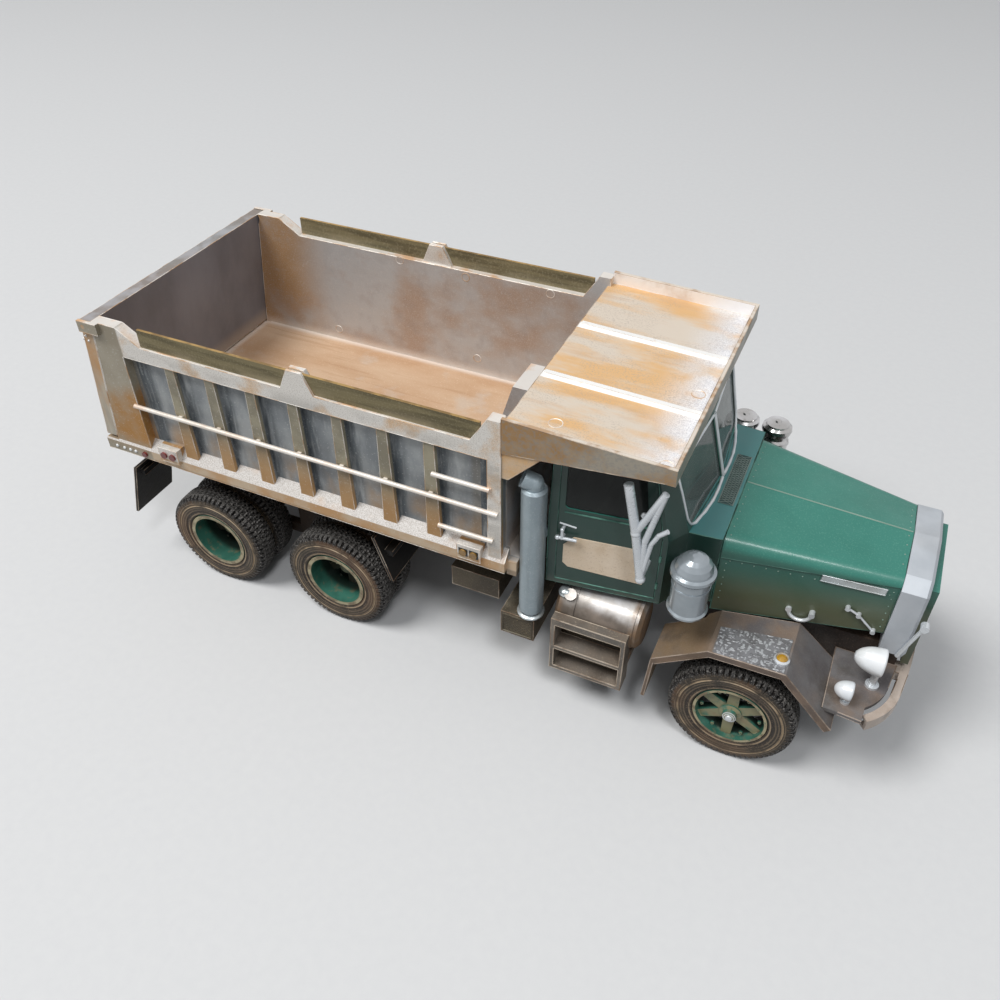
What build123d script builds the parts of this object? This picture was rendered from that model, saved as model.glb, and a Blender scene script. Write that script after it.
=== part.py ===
from build123d import *
import os
from math import asin, atan2, cos, degrees, hypot, radians, sin, sqrt

# A 1:25 plastic model of a three-axle dump truck. Millimetres, +X forward, +Y left, +Z up,
# origin on the ground below the middle of the truck.

os.makedirs("parts", exist_ok=True)

# ---------------------------------------------------------------- fits
running_fit = 0.05        # radial clearance of every turning or sliding pair
rest_gap = 0.3            # between pieces that rest near one another and move apart
seam = 0.15               # open seam round a door

# ---------------------------------------------------------------- wheels and axles
tyre_radius = 20.8
tyre_width = 10.4
tyre_bore = 12.0
tyre_crown = 0.9          # how far the shoulder falls below the crown
dual_spacing = 11.8       # between the two tyres of a pair
front_axle_x = 95.7
bogie_x = -78.85
bogie_spread = 53.5
front_tyre_face = 46.0    # outer face, from the middle of the truck
rear_tyre_face = 46.5
spindle_radius = 1.6
rim_wall = 0.9
hub_radius = 3.6
hub_depth = 8.2           # from a rear tyre's outer face in to the end of its hub bore
hub_cap = 0.8             # end of a rear hub over its bore
rear_rim_wall = 1.5
spoke_count = 6
spoke_width = 3.2

# ---------------------------------------------------------------- frame
rail_outer = 17.3
rail_flange = 3.7
rail_web = 1.2
rail_bottom = 33.5
rail_top = 45.0
frame_rear = -138.0
frame_front = 139.0
crossmember_depth = 6.0
crossmember_width = 3.2
crossmember_play = 0.05   # glue gap between a cross-member and the webs of the rails
crossmember_x = (-134.0, -96.0, -61.0, -24.0, 34.0, 70.0, 133.0)

# ---------------------------------------------------------------- front axle and steering
kingpin_y = 30.5
kingpin_radius = 1.2
beam_height = 4.6
beam_width = 3.2
boss_radius = 2.5
boss_height = 6.6
fork_thickness = 1.7
steering_arm = 9.0        # length of the arms behind the kingpins
steering_pin_radius = 0.9
tie_rod_radius = 1.0
spring_width = 3.0
spring_leaf = 1.2
spring_half_length = 24.0
spring_leaves = 3

# ---------------------------------------------------------------- rear bogie
axle_tube_radius = 3.0
axle_tube_end = 22.0
differential_radius = 7.6
differential_width = 12.0
equalizer_height = 4.8
equalizer_top = 17.4
suspension_inner = 18.8
suspension_outer = 21.8
bogie_leaf = 1.4
bogie_leaf_bottom = 27.0
bogie_leaf_halves = (10.0, 14.0, 18.0, 22.0)
shaft_radius = 1.4

# ---------------------------------------------------------------- engine and gearbox
gearbox_rear_x = 62.0
gearbox_z = 35.0
gearbox_half = 6.0
gearbox_low = 31.0
gearbox_high = 46.0
engine_rear_x = 83.0
engine_front_x = 126.0
engine_half = 10.0
engine_low = 28.0
engine_high = 62.0
engine_mount_x = (100.0, 106.0)
engine_mount_depth = 4.0

# ---------------------------------------------------------------- dump body
bed_rear = -145.4
bed_front = 16.6
floor_top = 62.75
floor_thickness = 2.25
apron_drop = 0.4          # apron under the tailgate below the load floor
apron_margin = 2.6        # load floor starts this far ahead of the closed tailgate
wall_inner = 44.6
wall_thickness = 1.2
bottom_rail_outer = 49.5
bottom_rail_low = 57.1
bottom_rail_high = 61.3
ledge_high = 65.0
bottom_rail_nose = 1.6    # bottom rail ahead of the front wall
front_sill = 4.9          # cross-member ahead of the front wall
front_sill_low = 55.6
front_sill_high = 61.4
front_sill_half = 47.6
top_rail_outer = 48.75
top_rail_low = 100.9
top_rail_high = 106.5
rib_face = 48.0
rib_first_x = -104.7
rib_pitch = 16.2
rib_count = 7
rib_face_bottom = 5.2
rib_face_top = 3.6
rib_flare = 1.6           # extra width of a rib's foot against the wall
corner_front = -123.0     # front edge of the smooth rear corner
corner_rise = 5.7         # corner post above the top rail
front_post_rear = 12.1
mid_post_x = (-58.7, -46.4, -50.0, -55.5)    # foot rear and front, head front and rear
light_box_face = 50.6
# light boxes on the bottom rail: x from, x to, z from, z to
light_boxes = ((-117.6, -109.2, 60.0, 66.0), (1.9, 10.3, 59.4, 65.3))
box_lamp_radius = 1.3
box_lamp_depth = 0.7
tail_lamp = (-126.0, 59.2, 1.1, 0.8)         # x, z, radius and depth of the lamp on the bottom rail
# bars along the ribs: x from, x to, z
side_bars = ((-124.0, 15.8, 81.0), (-6.2, 13.2, 90.0), (-4.9, 14.2, 69.5))
bar_radius = 0.8
front_post_drop = 1.4     # front post below the canopy's rear edge
sill_inner = 13.6
sill_outer = 17.3
sill_front = 13.0
cross_sill_width = 3.0
cross_sill_pitch = 21.0
pivot_x = -132.0
pivot_z = 51.0
pivot_radius = 1.6
pivot_ear = 4.0
pivot_ear_inner = 9.4
pivot_ear_outer = 12.6
pivot_head = 1.5          # pin end outside the rail

# ---------------------------------------------------------------- tailgate
gate_rear_top_x = -137.9
gate_rear_bottom_x = -143.2
gate_thickness = 4.6
gate_sheet = 1.4
gate_bottom = 63.2
gate_half = 48.7
gate_pin_drop = 1.7       # hinge axis below the top edge
gate_pin_radius = 0.8
hinge_plate = 1.2

# ---------------------------------------------------------------- canopy, doghouse and boards
canopy_front = 67.6
canopy_clearance = 7.5    # canopy's front edge above the cab roof
canopy_fall = 1.7         # from its rear edge to its front edge
canopy_recess = 4.3
canopy_plate = 1.2
canopy_half = 48.7
canopy_side_low = 95.2
canopy_front_depth = 5.1
canopy_kink_x = 29.1
canopy_kink_drop = 4.1    # kink of the side sheet below its front corner
canopy_foot_x = 18.8
gusset_inset = 0.5        # side sheet below the line of the canopy's lower edge
ridge_y = 16.0
ridge_width = 3.6
ridge_height = 1.1
doghouse_half = 7.8
doghouse_top = 98.6
doghouse_top_x = 2.3
doghouse_bottom_x = -8.3
doghouse_wall = 1.2
board_inner = 47.0
board_outer = 48.0
board_height = 6.5        # above the top rail
board_rear = -114.3
board_front = 9.7

# ---------------------------------------------------------------- hoist
hoist_x = 8.5
hoist_base_z = 41.0
hoist_pin_z = 91.5
hoist_foot = 4.6          # barrel bottom below its trunnion
hoist_barrel_radius = 5.4
hoist_wall = 0.75
hoist_floor = 1.0
hoist_collar_step = 0.6   # each stage stands this far out of the one below it
hoist_barrel_top = 83.6
trunnion_radius = 1.5
hoist_eye_radius = 2.7
hoist_eye_width = 5.0
hoist_pin_radius = 0.9
cradle_half = 3.2
cradle_reach = 2.0        # cradle inside the edge of the flanges
hoist_pin_play = 3.2      # slack of the open pin joint at the top
ear_inner = 3.3
ear_thickness = 1.4

# ---------------------------------------------------------------- cab
cab_bottom = 52.4
cab_waist = 79.0
cab_eave = 105.0
roof_rise = 2.6
cab_wall = 1.4
# plan of the cab from the rear to the front: x at the waist, half width there, x and half width at the eave
cab_rear_x = 29.5
cab_plan = (
    (cab_rear_x, 42.0, cab_rear_x + 0.6, 40.6),
    (66.0, 37.2, 60.0, 37.0),
    (70.3, 30.4, 63.6, 33.8),
)
cab_nose_x = 72.9         # middle of the V-shaped windscreen at the waist
cab_nose_eave_x = 65.8
cowl_x = 80.5             # front edge of the cowl, where the bonnet starts
cowl_half = 29.4
door_rear_x = 32.5
door_front_x = 64.2
door_bottom = 54.2
door_header = 2.4         # roof edge above the door
door_kink = 1.0           # front edge of the door turns back this far above the waist
door_front_high_x = 60.0
side_cut = (30.0, 46.0)   # reach across a side of what cuts its door and window
window_rear_x = 34.4
window_front_low_x = 59.6
window_front_high_x = 57.4
window_sill = 5.4         # side windows start this far above the waist
window_header = 2.0       # door frame above the window
window_corner = 1.4
screen_sill = 0.6         # windscreen starts this far above the waist
screen_header = 3.2
screen_border = 0.8       # from a pane's outer edge to the corner of the cab
screen_post = 0.8         # half width of the post between the panes
screen_cut = (55.0, 80.0)
screen_low_corner = 4.0
screen_high_corner = 2.5
rear_window_half = 20.0
rear_window_sill = 5.9    # rear window above the lower edge of the windscreen
rear_window_header = 1.8
glass_thickness = 0.5
glass_depth = 0.45        # from the outside of the cab to the glass
floor_sheet = 1.4

# ---------------------------------------------------------------- seat, dashboard and steering wheel
seat_half = 34.0
seat_high = 66.0
seat_back_high = 84.0
seat_rear_x = (33.0, 32.2)        # back of the seat at its foot and its top
seat_back_x = (37.5, 35.6)        # front of the back rest at the cushion and at its top
seat_front_x = 50.0
dash_half = 27.0
dash_line = ((68.6, 70.0), (68.6, 77.0), (66.4, 77.6), (64.6, 72.0))    # x, z
dash_post_rear_x = 66.0
dash_post_half = 4.0
column_foot_x = 69.5
column_head = (59.0, 75.5)        # x, z
column_y = 17.0
column_radius = 0.9
steering_ring = 6.6
steering_grip = 0.6
steering_hub = 1.4

# ---------------------------------------------------------------- bonnet and radiator
hood_front_x = 132.2
hood_rear_half = 29.0
hood_front_half = 20.0
hood_rear_top = 78.6
hood_front_top = 74.3
hood_rear_low = 48.4
hood_front_low = 51.4
hood_shoulder_rear = 5.5
hood_shoulder_front = 4.0
hood_crown_rear = 0.8
hood_crown_front = 2.7
hood_panel_top = 71.4     # side panels end here, set in below the rounded shoulder
hood_panel_inset = 0.5
hood_skin = 1.3
shell_front_x = 140.2
shell_half = 20.8
shell_low = 45.2
shell_top = 74.9          # at the shoulders
shell_crown = 2.5         # middle of the top above its shoulders
shell_bevel = 3.8
shell_edge = 0.9
shell_border = 4.2
grille_half = 16.3
grille_low = 38.0
grille_top = 70.6
grille_depth = 2.4
grille_slats = 13

# ---------------------------------------------------------------- front fenders, bumper, lamps
fender_outer = 47.0
fender_sheet = 1.2
fender_lip = 2.5
# top line of a fender from the rear flap to the front deck: x, z
fender_cowl_gap = 1.6     # from the fender to the cowl beside it
fender_line = ((66.6, 18.4), (68.0, 37.5), (84.7, 49.3), (108.3, 50.0), (125.2, 32.4))
bumper_low = 31.8
bumper_high = 36.0
bumper_front_x = 144.6
bumper_radius = 170.4     # middle of the bumper in plan
bumper_join_y = 28.5      # where the end arcs start
bumper_end_radius = 22.7
bumper_end_angle = 50.4   # direction of the end of the bumper, from the centre of its end arc
bumper_flange = 2.6
bumper_sheet = 1.0
bumper_arm = 8.0          # how far the arms reach back along the rails
bumper_arm_sheet = 1.6
deck_thickness = 1.4
deck_rear_x = 120.8
deck_half = 43.4
deck_ear_x = 132.5
deck_ear_half = 44.0
deck_inset = 3.9          # deck's front edge inside the bumper's face
deck_end_angle = 46.5
# lamps: x of the rim, y, z, radius, length, foot ahead of the rim
lamp_table = (
    (134.6, 28.9, 48.4, 4.3, 9.0, -1.2),
    (128.0, 38.6, 42.6, 3.0, 5.4, -1.2),
)

# ---------------------------------------------------------------- tanks, steps, exhaust, filters
tank_radius = 8.8
tank_rear_x = 33.6
tank_front_x = 62.8
tank_y = 35.6
tank_z = 40.0
cap_x = 38.2
cap_lean = 34.0           # filler neck from the vertical, outward
cap_radius = 2.0
step_rear_x = 34.3
step_front_x = 59.8
step_outer = 48.2
step_low = 18.0
step_high = 42.3
step_inner = 41.5
step_tread = 28.0         # underside of the middle tread
step_top = 3.0            # depth of the top box
step_sheet = 1.5
step_arm_low = 25.0
step_arm_high = 27.0
hanger_x = (40.0, 52.0)   # tank hangers
hanger_width = 3.0
hanger_depth = 5.0
stack_x = 25.8
stack_y = 44.8
stack_radius = 4.0
stack_low = 40.0
stack_high = 92.6
stack_pipe_radius = 2.2
stack_tip_radius = 2.9
stack_tip_wall = 0.6
stack_tip = (-3.4, -1.0, 1.6)     # direction and reach of the bent tip
battery_rear_x = 15.8
battery_front_x = 27.9
battery_outer = 47.0
battery_low = 26.5
battery_high = 36.5
reservoir_rear_x = -6.0
reservoir_front_x = 12.0
reservoir_outer = 40.0
reservoir_low = 33.6
reservoir_high = 42.4
cleaner_x = 75.4
cleaner_y = 41.8
cleaner_radius = 5.7
cleaner_low = 59.2
cleaner_high = 81.3
far_cleaner_x = (71.6, 83.0)
far_cleaner_y = 40.2
far_cleaner_radius = 4.75
far_cleaner_low = 57.0
far_cleaner_high = 77.6
mirror_y = 46.0
mirror_foot = (61.0, 69.8)    # x, z
mirror_boss = (57.9, 87.3)
mirror_bend = (60.9, 85.0)
mirror_ball = 1.6
mirror_head_x = (54.2, 64.9)
mirror_head_gap = 1.8         # top of the arms below the kink of the canopy's side
mirror_hook = ((61.2, 72.0), (62.8, 84.5), (64.6, 88.6), (67.0, 91.1))
mirror_hook_radius = 0.75
flap_inner = 26.0
flap_outer = 46.4
flap_sheet = 1.2
flap_hanger = 2.4
# rear face of a flap at its top and its foot: x, z, and the height of its hanger
flap_rear = ((-138.6, 46.4), (-145.3, 22.0), 41.6)
flap_front = ((-33.4, 50.6), (-27.4, 31.9), 41.6)

# ---------------------------------------------------------------- handles, latches and marker lamps
handle_x = (33.2, 34.6, 39.2)     # door handle: knob, foot and tip
handle_z = 73.7
handle_stub = 3.4                 # upright of the door handle
handle_reach = 1.7                # door handle off the door
handle_radius = 0.55
ring_x = 107.2                    # half ring on the bonnet's side
ring_z = 54.9
ring_radius = 3.5
ring_bar = 0.62
ring_reach = 0.9
latch_head = ((120.0, 60.0), (123.6, 57.8))    # x, z of the latch's two knobs
latch_tail = (129.0, 52.0)
latch_bar = 0.4
latch_knob = 0.75
stay_foot = (137.8, 45.4)         # stay beside the radiator: x, z
stay_head = (141.9, 60.4)
stay_radius = 0.6
stay_knob = 1.3
marker_x = 106.0                  # marker lamp on the fender
marker_y = 41.9
marker_radius = 2.4
marker_height = 1.5


# ---------------------------------------------------------------- places that follow from the sizes
mid_axle_x = bogie_x + bogie_spread / 2
rear_axle_x = bogie_x - bogie_spread / 2
wheel_z = tyre_radius
cab_roof = cab_eave + roof_rise
door_top = cab_eave - door_header
window_low = cab_waist + window_sill
window_high = door_top - window_header
canopy_front_top = cab_roof + canopy_clearance
canopy_rear_top = canopy_front_top + canopy_fall
canopy_front_low = canopy_front_top - canopy_front_depth
front_post_top = canopy_rear_top - front_post_drop
corner_top = top_rail_high + corner_rise
gate_top = corner_top - rest_gap
board_top = top_rail_high + board_height
canopy_kink_z = canopy_front_low - canopy_kink_drop
mirror_head = canopy_kink_z - mirror_head_gap
# mirror bars: both ends as x, z and the radius
mirror_bars = (
    (mirror_foot, mirror_boss, 1.4),
    (mirror_boss, (mirror_head_x[0], mirror_head), 1.45),
    (mirror_boss, (mirror_head_x[1], mirror_head), 1.1),
    (mirror_foot, mirror_bend, 0.9),
    (mirror_bend, (mirror_head_x[1], mirror_head), 1.0),
)


# ================================================================ helpers
def box(x0, x1, y0, y1, z0, z1):
    size = (abs(x1 - x0), abs(y1 - y0), abs(z1 - z0))
    return Pos((x0 + x1) / 2, (y0 + y1) / 2, (z0 + z1) / 2) * Box(*size)


def prism(points, start, end, axis):
    """Straight prism of a polygon: axis names the direction it runs in, points are the other two."""
    place = {
        "x": lambda a, b: (start, a, b),
        "y": lambda a, b: (a, start, b),
        "z": lambda a, b: (a, b, start),
    }[axis]
    run = {"x": (end - start, 0, 0), "y": (0, end - start, 0), "z": (0, 0, end - start)}[axis]
    face = Face(Wire.make_polygon([Vector(*place(a, b)) for a, b in points]))
    return Solid.extrude(face, Vector(*run))


def rod(p, q, radius):
    """Round bar between two points."""
    p, q = Vector(*p), Vector(*q)
    plane = Plane(origin=p, z_dir=(q - p))
    return Solid.make_cylinder(radius, (q - p).length, plane)


def tube(p, q, radius, bore):
    return rod(p, q, radius) - rod(p, q, bore)


def turned(profile, origin, direction):
    """Solid of revolution: profile is (distance along the axis, radius)."""
    plane = Plane(origin=origin, x_dir=Vector(*direction).cross(Vector(0, 0, 1)).normalized()
                  if abs(direction[2]) < 0.9 else Vector(1, 0, 0), z_dir=direction)
    points = [plane.from_local_coords(Vector(r, 0, a)) for a, r in profile]
    face = Face(Wire.make_polygon(points))
    return Solid.revolve(face, 360, Axis(origin, direction))


def mirrored(shape):
    return mirror(shape, about=Plane.XZ)


def both(shape):
    return [shape, mirrored(shape)]


def symmetric(points):
    """Closed outline from points (along, half): the left side, then the right side back."""
    left = [(a, h) for a, h in points]
    right = [(a, -h) for a, h in reversed(points) if h > 1e-9]
    return left + right


def band(points, depth):
    """Outline of a folded sheet: the top line and the line a sheet thickness below it."""
    lower = []
    for i, (x, z) in enumerate(points):
        before = points[max(i - 1, 0)]
        here = points[i]
        after = points[min(i + 1, len(points) - 1)]
        a = atan2(here[1] - before[1], here[0] - before[0]) if i else None
        b = atan2(after[1] - here[1], after[0] - here[0]) if i < len(points) - 1 else a
        a = b if a is None else a
        turn = (a + b) / 2
        reach = depth / cos((a - b) / 2)
        lower.append((x + reach * sin(turn), z - reach * cos(turn)))
    return points + tuple(reversed(lower))


def fuse(*shapes):
    total = shapes[0]
    for shape in shapes[1:]:
        total = total + shape
    return total


def solids_of(shapes):
    found = []
    for shape in shapes:
        if isinstance(shape, (list, tuple)):
            found += solids_of(shape)
        else:
            found += list(shape.solids())
    return found


def save(name, *shapes):
    export_step(Compound(label=name, children=solids_of(shapes)), f"parts/{name}.step")


# ================================================================ frame
def channel():
    low, high, out = rail_bottom, rail_top, rail_outer
    inner = out - rail_flange
    section = [
        (inner, low), (out, low), (out, high), (inner, high),
        (inner, high - rail_web), (out - rail_web, high - rail_web),
        (out - rail_web, low + rail_web), (inner, low + rail_web),
    ]
    return prism(section, frame_rear, frame_front, "x")


def frame():
    """Two rails that carry the hoist cradle and the bed pivot, and the cross-members between them."""
    rail_middle = (rail_bottom + rail_top) / 2
    web_face = rail_outer - rail_web
    flange_edge = rail_outer - rail_flange
    cradle = box(hoist_x - cradle_half, hoist_x + cradle_half, flange_edge - cradle_reach, web_face,
                 hoist_base_z - cradle_half, rail_top)
    cradle -= rod((hoist_x, 0, hoist_base_z), (hoist_x, web_face - 1.0, hoist_base_z),
                  trunnion_radius + running_fit)
    post = box(pivot_x - pivot_ear, pivot_x + pivot_ear, flange_edge, rail_outer, rail_top, pivot_z)
    post += rod((pivot_x, flange_edge, pivot_z), (pivot_x, rail_outer, pivot_z), pivot_ear)
    post += rod((pivot_x, pivot_ear_inner - rest_gap, pivot_z),
                (pivot_x, rail_outer + pivot_head, pivot_z), pivot_radius)
    rail = fuse(channel(), cradle, post)
    members = []
    half = web_face - crossmember_play
    for x in crossmember_x:
        members.append(box(x - crossmember_width / 2, x + crossmember_width / 2, -half, half,
                           rail_middle - crossmember_depth / 2, rail_middle + crossmember_depth / 2))
    save("frame", both(rail), members)


# ================================================================ front axle
def front_axle():
    half_height = boss_height / 2
    beam = box(front_axle_x - beam_width / 2, front_axle_x + beam_width / 2,
               -kingpin_y, kingpin_y, wheel_z - beam_height / 2, wheel_z + beam_height / 2)
    for side in (1, -1):
        y = side * kingpin_y
        beam += rod((front_axle_x, y, wheel_z - half_height),
                    (front_axle_x, y, wheel_z + half_height), boss_radius)
    for side in (1, -1):
        y = side * kingpin_y
        beam -= rod((front_axle_x, y, wheel_z - half_height - 1),
                    (front_axle_x, y, wheel_z + half_height + 1), kingpin_radius + running_fit)
    pad_top = wheel_z + beam_height / 2 + 1.2
    pad = box(front_axle_x - 3.0, front_axle_x + 3.0, rail_outer - spring_width - 0.2, rail_outer - 0.2,
              wheel_z, pad_top)
    save("front_axle", fuse(beam, *both(pad)))
    return pad_top


def front_springs(pad_top):
    outer = rail_outer - 0.2
    inner = outer - spring_width
    pieces = []
    for leaf in range(spring_leaves):
        reach = spring_half_length * (leaf + 1.6) / (spring_leaves + 0.6)
        low = pad_top + leaf * spring_leaf
        lift = (rail_bottom - 2.4 - spring_leaf * spring_leaves - pad_top) * (reach / spring_half_length)
        line = ((front_axle_x - reach, low + lift), (front_axle_x - 3.0, low),
                (front_axle_x + 3.0, low), (front_axle_x + reach, low + lift))
        top = [(x, z + spring_leaf) for x, z in reversed(line)]
        pieces.append(prism(list(line) + top, inner, outer, "y"))
    for end in (-1, 1):
        x = front_axle_x + end * spring_half_length
        pieces.append(box(x - 1.6, x + 1.6, inner, outer, rail_bottom - 4.2, rail_bottom))
    return both(fuse(*pieces))


def knuckle(side):
    """Knuckle with its kingpin, the wheel spindle and the steering arm."""
    y = side * kingpin_y
    half_height = boss_height / 2
    gap = running_fit * 2
    top = wheel_z + half_height + gap
    low = wheel_z - half_height - gap
    x = front_axle_x
    pin = rod((x, y, low - fork_thickness), (x, y, top + fork_thickness), kingpin_radius)
    yoke_inner = kingpin_y + boss_radius + 0.25
    yoke_outer = yoke_inner + 1.6
    body = box(x - 2.4, x + 2.4, side * yoke_inner, side * yoke_outer,
               low - fork_thickness, top + fork_thickness)
    for z0 in (top, low - fork_thickness):
        body += box(x - 2.4, x + 2.4, y, side * yoke_outer, z0, z0 + fork_thickness)
        body += rod((x, y, z0), (x, y, z0 + fork_thickness), 2.4)
    face = side * (front_tyre_face - 0.6)
    body += rod((x, side * yoke_inner, wheel_z), (x, face, wheel_z), spindle_radius)
    arm_z = low - fork_thickness
    body += box(x - steering_arm, x, y - 1.1, y + 1.1, arm_z, arm_z + fork_thickness)
    body += rod((x - steering_arm, y, arm_z), (x - steering_arm, y, arm_z + fork_thickness), 1.7)
    body += rod((x - steering_arm, y, arm_z - 2.6), (x - steering_arm, y, arm_z), steering_pin_radius)
    save("knuckle_left" if side > 0 else "knuckle_right", body + pin)
    return arm_z


def tie_rod(arm_z):
    x = front_axle_x - steering_arm
    z0 = arm_z - 0.1 - 1.8
    z1 = arm_z - 0.1
    middle = (z0 + z1) / 2
    bar = rod((x, -kingpin_y + 1.5, middle), (x, kingpin_y - 1.5, middle), tie_rod_radius * 0.85)
    for side in (1, -1):
        y = side * kingpin_y
        bar += rod((x, y, z0), (x, y, z1), 1.9)
    for side in (1, -1):
        y = side * kingpin_y
        bar -= rod((x, y, z0 - 1), (x, y, z1 + 1), steering_pin_radius + running_fit)
    save("tie_rod", bar)


# ================================================================ rear bogie
def rear_axles():
    made = []
    for x in (mid_axle_x, rear_axle_x):
        spindle_end = rear_tyre_face - hub_depth - rest_gap
        axle = rod((x, -axle_tube_end, wheel_z), (x, axle_tube_end, wheel_z), axle_tube_radius)
        axle += rod((x, -spindle_end, wheel_z), (x, spindle_end, wheel_z), spindle_radius)
        half = differential_width / 2
        bulb = [(-half, 0), (-half, differential_radius - 2.6), (-half + 2.6, differential_radius),
                (half - 2.6, differential_radius), (half, differential_radius - 2.6), (half, 0)]
        axle += turned(bulb, (x, 0, wheel_z), (0, 1, 0))
        axle += rod((x - differential_radius - 1.4, 0, wheel_z + 1.2),
                    (x + differential_radius + 1.4, 0, wheel_z + 1.2), 2.2)
        for side in (1, -1):
            axle += box(x - 3.2, x + 3.2, side * suspension_inner, side * suspension_outer,
                        equalizer_top, wheel_z)
        made.append(axle)
    save("rear_axles", made)


def bogie_springs():
    inner, outer = suspension_inner, suspension_outer
    reach = bogie_spread / 2 + 3.2
    low = equalizer_top - equalizer_height
    beam = prism([(bogie_x - reach, equalizer_top), (bogie_x - reach, low + 1.6),
                  (bogie_x - reach + 4.0, low), (bogie_x + reach - 4.0, low),
                  (bogie_x + reach, low + 1.6), (bogie_x + reach, equalizer_top)], inner, outer, "y")
    save("equalizer_beams", both(beam))
    pack = box(bogie_x - 5.0, bogie_x + 5.0, inner, outer, equalizer_top, bogie_leaf_bottom)
    z = bogie_leaf_bottom
    for half in bogie_leaf_halves:
        pack += box(bogie_x - half, bogie_x + half, inner, outer, z, z + bogie_leaf)
        z += bogie_leaf
    for end in (-1, 1):
        x = bogie_x + end * bogie_leaf_halves[-1]
        pack += box(x - 2.0, x + 2.0, rail_outer, outer, z - bogie_leaf - 1.0, rail_bottom + 6.5)
    return both(pack)


def drive_shafts():
    mid_front = (mid_axle_x + differential_radius + 1.4, 0, wheel_z + 1.2)
    front = rod(mid_front, (gearbox_rear_x, 0, gearbox_z), shaft_radius)
    front = front - box(mid_front[0] - 4, mid_front[0], -3, 3, wheel_z - 4, wheel_z + 6)
    front = front - box(gearbox_rear_x, gearbox_rear_x + 4, -3, 3, gearbox_z - 5, gearbox_z + 5)
    back = rod((mid_axle_x - differential_radius - 1.4, 0, wheel_z + 1.2),
               (rear_axle_x + differential_radius + 1.4, 0, wheel_z + 1.2), shaft_radius)
    save("drive_shafts", front, back)


# ================================================================ engine
def engine():
    """Engine with its gearbox, on two mounts at the rails, open over the cross-member below it."""
    block = box(engine_rear_x, engine_front_x, -engine_half, engine_half, engine_low, engine_high)
    block += box(gearbox_rear_x, engine_rear_x, -gearbox_half, gearbox_half, gearbox_low, gearbox_high)
    mount_outer = rail_outer - rail_flange
    for side in (1, -1):
        block += box(*engine_mount_x, side * engine_half, side * mount_outer,
                     rail_top - engine_mount_depth, rail_top)
    member_x = crossmember_x[5]
    block -= box(member_x - crossmember_width, member_x + crossmember_width, -mount_outer, mount_outer,
                 (rail_bottom + rail_top) / 2 - crossmember_depth, engine_high)
    save("engine", block)


# ================================================================ wheels
def tyre(inner_y, side, x):
    """Solid tyre ring; inner_y is its inner face, side the direction to its outer face."""
    w = tyre_width
    r = tyre_radius
    profile = [
        (0.9, tyre_bore), (0.0, tyre_bore + 2.6), (0.0, r - 3.2), (0.7, r - tyre_crown),
        (2.4, r), (w - 2.4, r), (w - 0.7, r - tyre_crown), (w, r - 3.2),
        (w, tyre_bore + 2.6), (w - 0.9, tyre_bore),
    ]
    return turned(profile, (x, inner_y, wheel_z), (0, side, 0))


def wheel_bore(x, y0, y1):
    return rod((x, y0, wheel_z), (x, y1, wheel_z), spindle_radius + running_fit)


def spokes(x, y, side, depth, reach, count):
    """Tapered spokes from the hub to the rim, in a plane across the axle."""
    made = []
    for i in range(count):
        angle = 360.0 * i / count
        outline = [(spoke_width * 0.62, 0), (spoke_width * 0.5, reach), (-spoke_width * 0.5, reach),
                   (-spoke_width * 0.62, 0)]
        blade = prism(outline, 0, side * depth, "y")
        made.append(Pos(x, y, wheel_z) * Rot(0, angle, 0) * blade)
    return made


def front_wheel(side):
    x = front_axle_x
    inner = front_tyre_face - tyre_width
    r = tyre_bore
    w = tyre_width
    ring = [(0.4, r), (0.4, r - rim_wall), (w / 2 - 1.2, r - rim_wall - 1.0),
            (w - 2.4, r - rim_wall), (w - 0.4, r - rim_wall), (w - 0.4, r)]
    rim = turned(ring, (x, side * inner, wheel_z), (0, side, 0))
    hub_start = 2.8
    hub = [(hub_start, 0), (hub_start, hub_radius), (w - 1.9, hub_radius), (w - 1.5, hub_radius - 1.2),
           (w - 0.2, hub_radius - 1.5), (w + 0.2, hub_radius - 2.2), (w + 0.2, 0)]
    rim += turned(hub, (x, side * inner, wheel_z), (0, side, 0))
    for blade in spokes(x, side * (inner + w - 5.4), side, 3.0, r - 0.6, spoke_count):
        rim += blade
    rim -= wheel_bore(x, side * (inner - 1), side * (front_tyre_face - 0.5))
    name = "left" if side > 0 else "right"
    save(f"front_wheel_{name}", rim)
    save(f"front_tyre_{name}", tyre(side * inner, side, x))


def rear_wheel(x, side, name):
    outer = rear_tyre_face
    inner = outer - tyre_width - dual_spacing
    w = tyre_width
    r = tyre_bore
    span = dual_spacing + w
    ring = [(0.4, r), (0.4, r - rear_rim_wall), (span - 0.4, r - rear_rim_wall), (span - 0.4, r),
            (dual_spacing + 0.9, r), (dual_spacing - 0.2, r + 1.0), (w + 0.2, r + 1.0), (w - 0.9, r)]
    rim = turned(ring, (x, side * inner, wheel_z), (0, side, 0))
    hub_start = dual_spacing - 6.0
    hub_end = span - hub_depth + hub_cap
    hub = [(hub_start, 0), (hub_start, hub_radius + 1.0), (hub_end - 2.6, hub_radius + 0.4),
           (hub_end - 2.2, hub_radius - 0.9), (hub_end - 0.5, hub_radius - 1.1), (hub_end, hub_radius - 1.6),
           (hub_end, 0)]
    rim += turned(hub, (x, side * inner, wheel_z), (0, side, 0))
    for blade in spokes(x, side * (inner + hub_start + 2.0), side, 3.4, r - 0.6, spoke_count):
        rim += blade
    rim -= wheel_bore(x, side * (inner - 1), side * (outer - hub_depth))
    save(f"{name}_wheel", rim)
    save(f"{name}_tyres", tyre(side * inner, side, x), tyre(side * (inner + dual_spacing), side, x))


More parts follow.
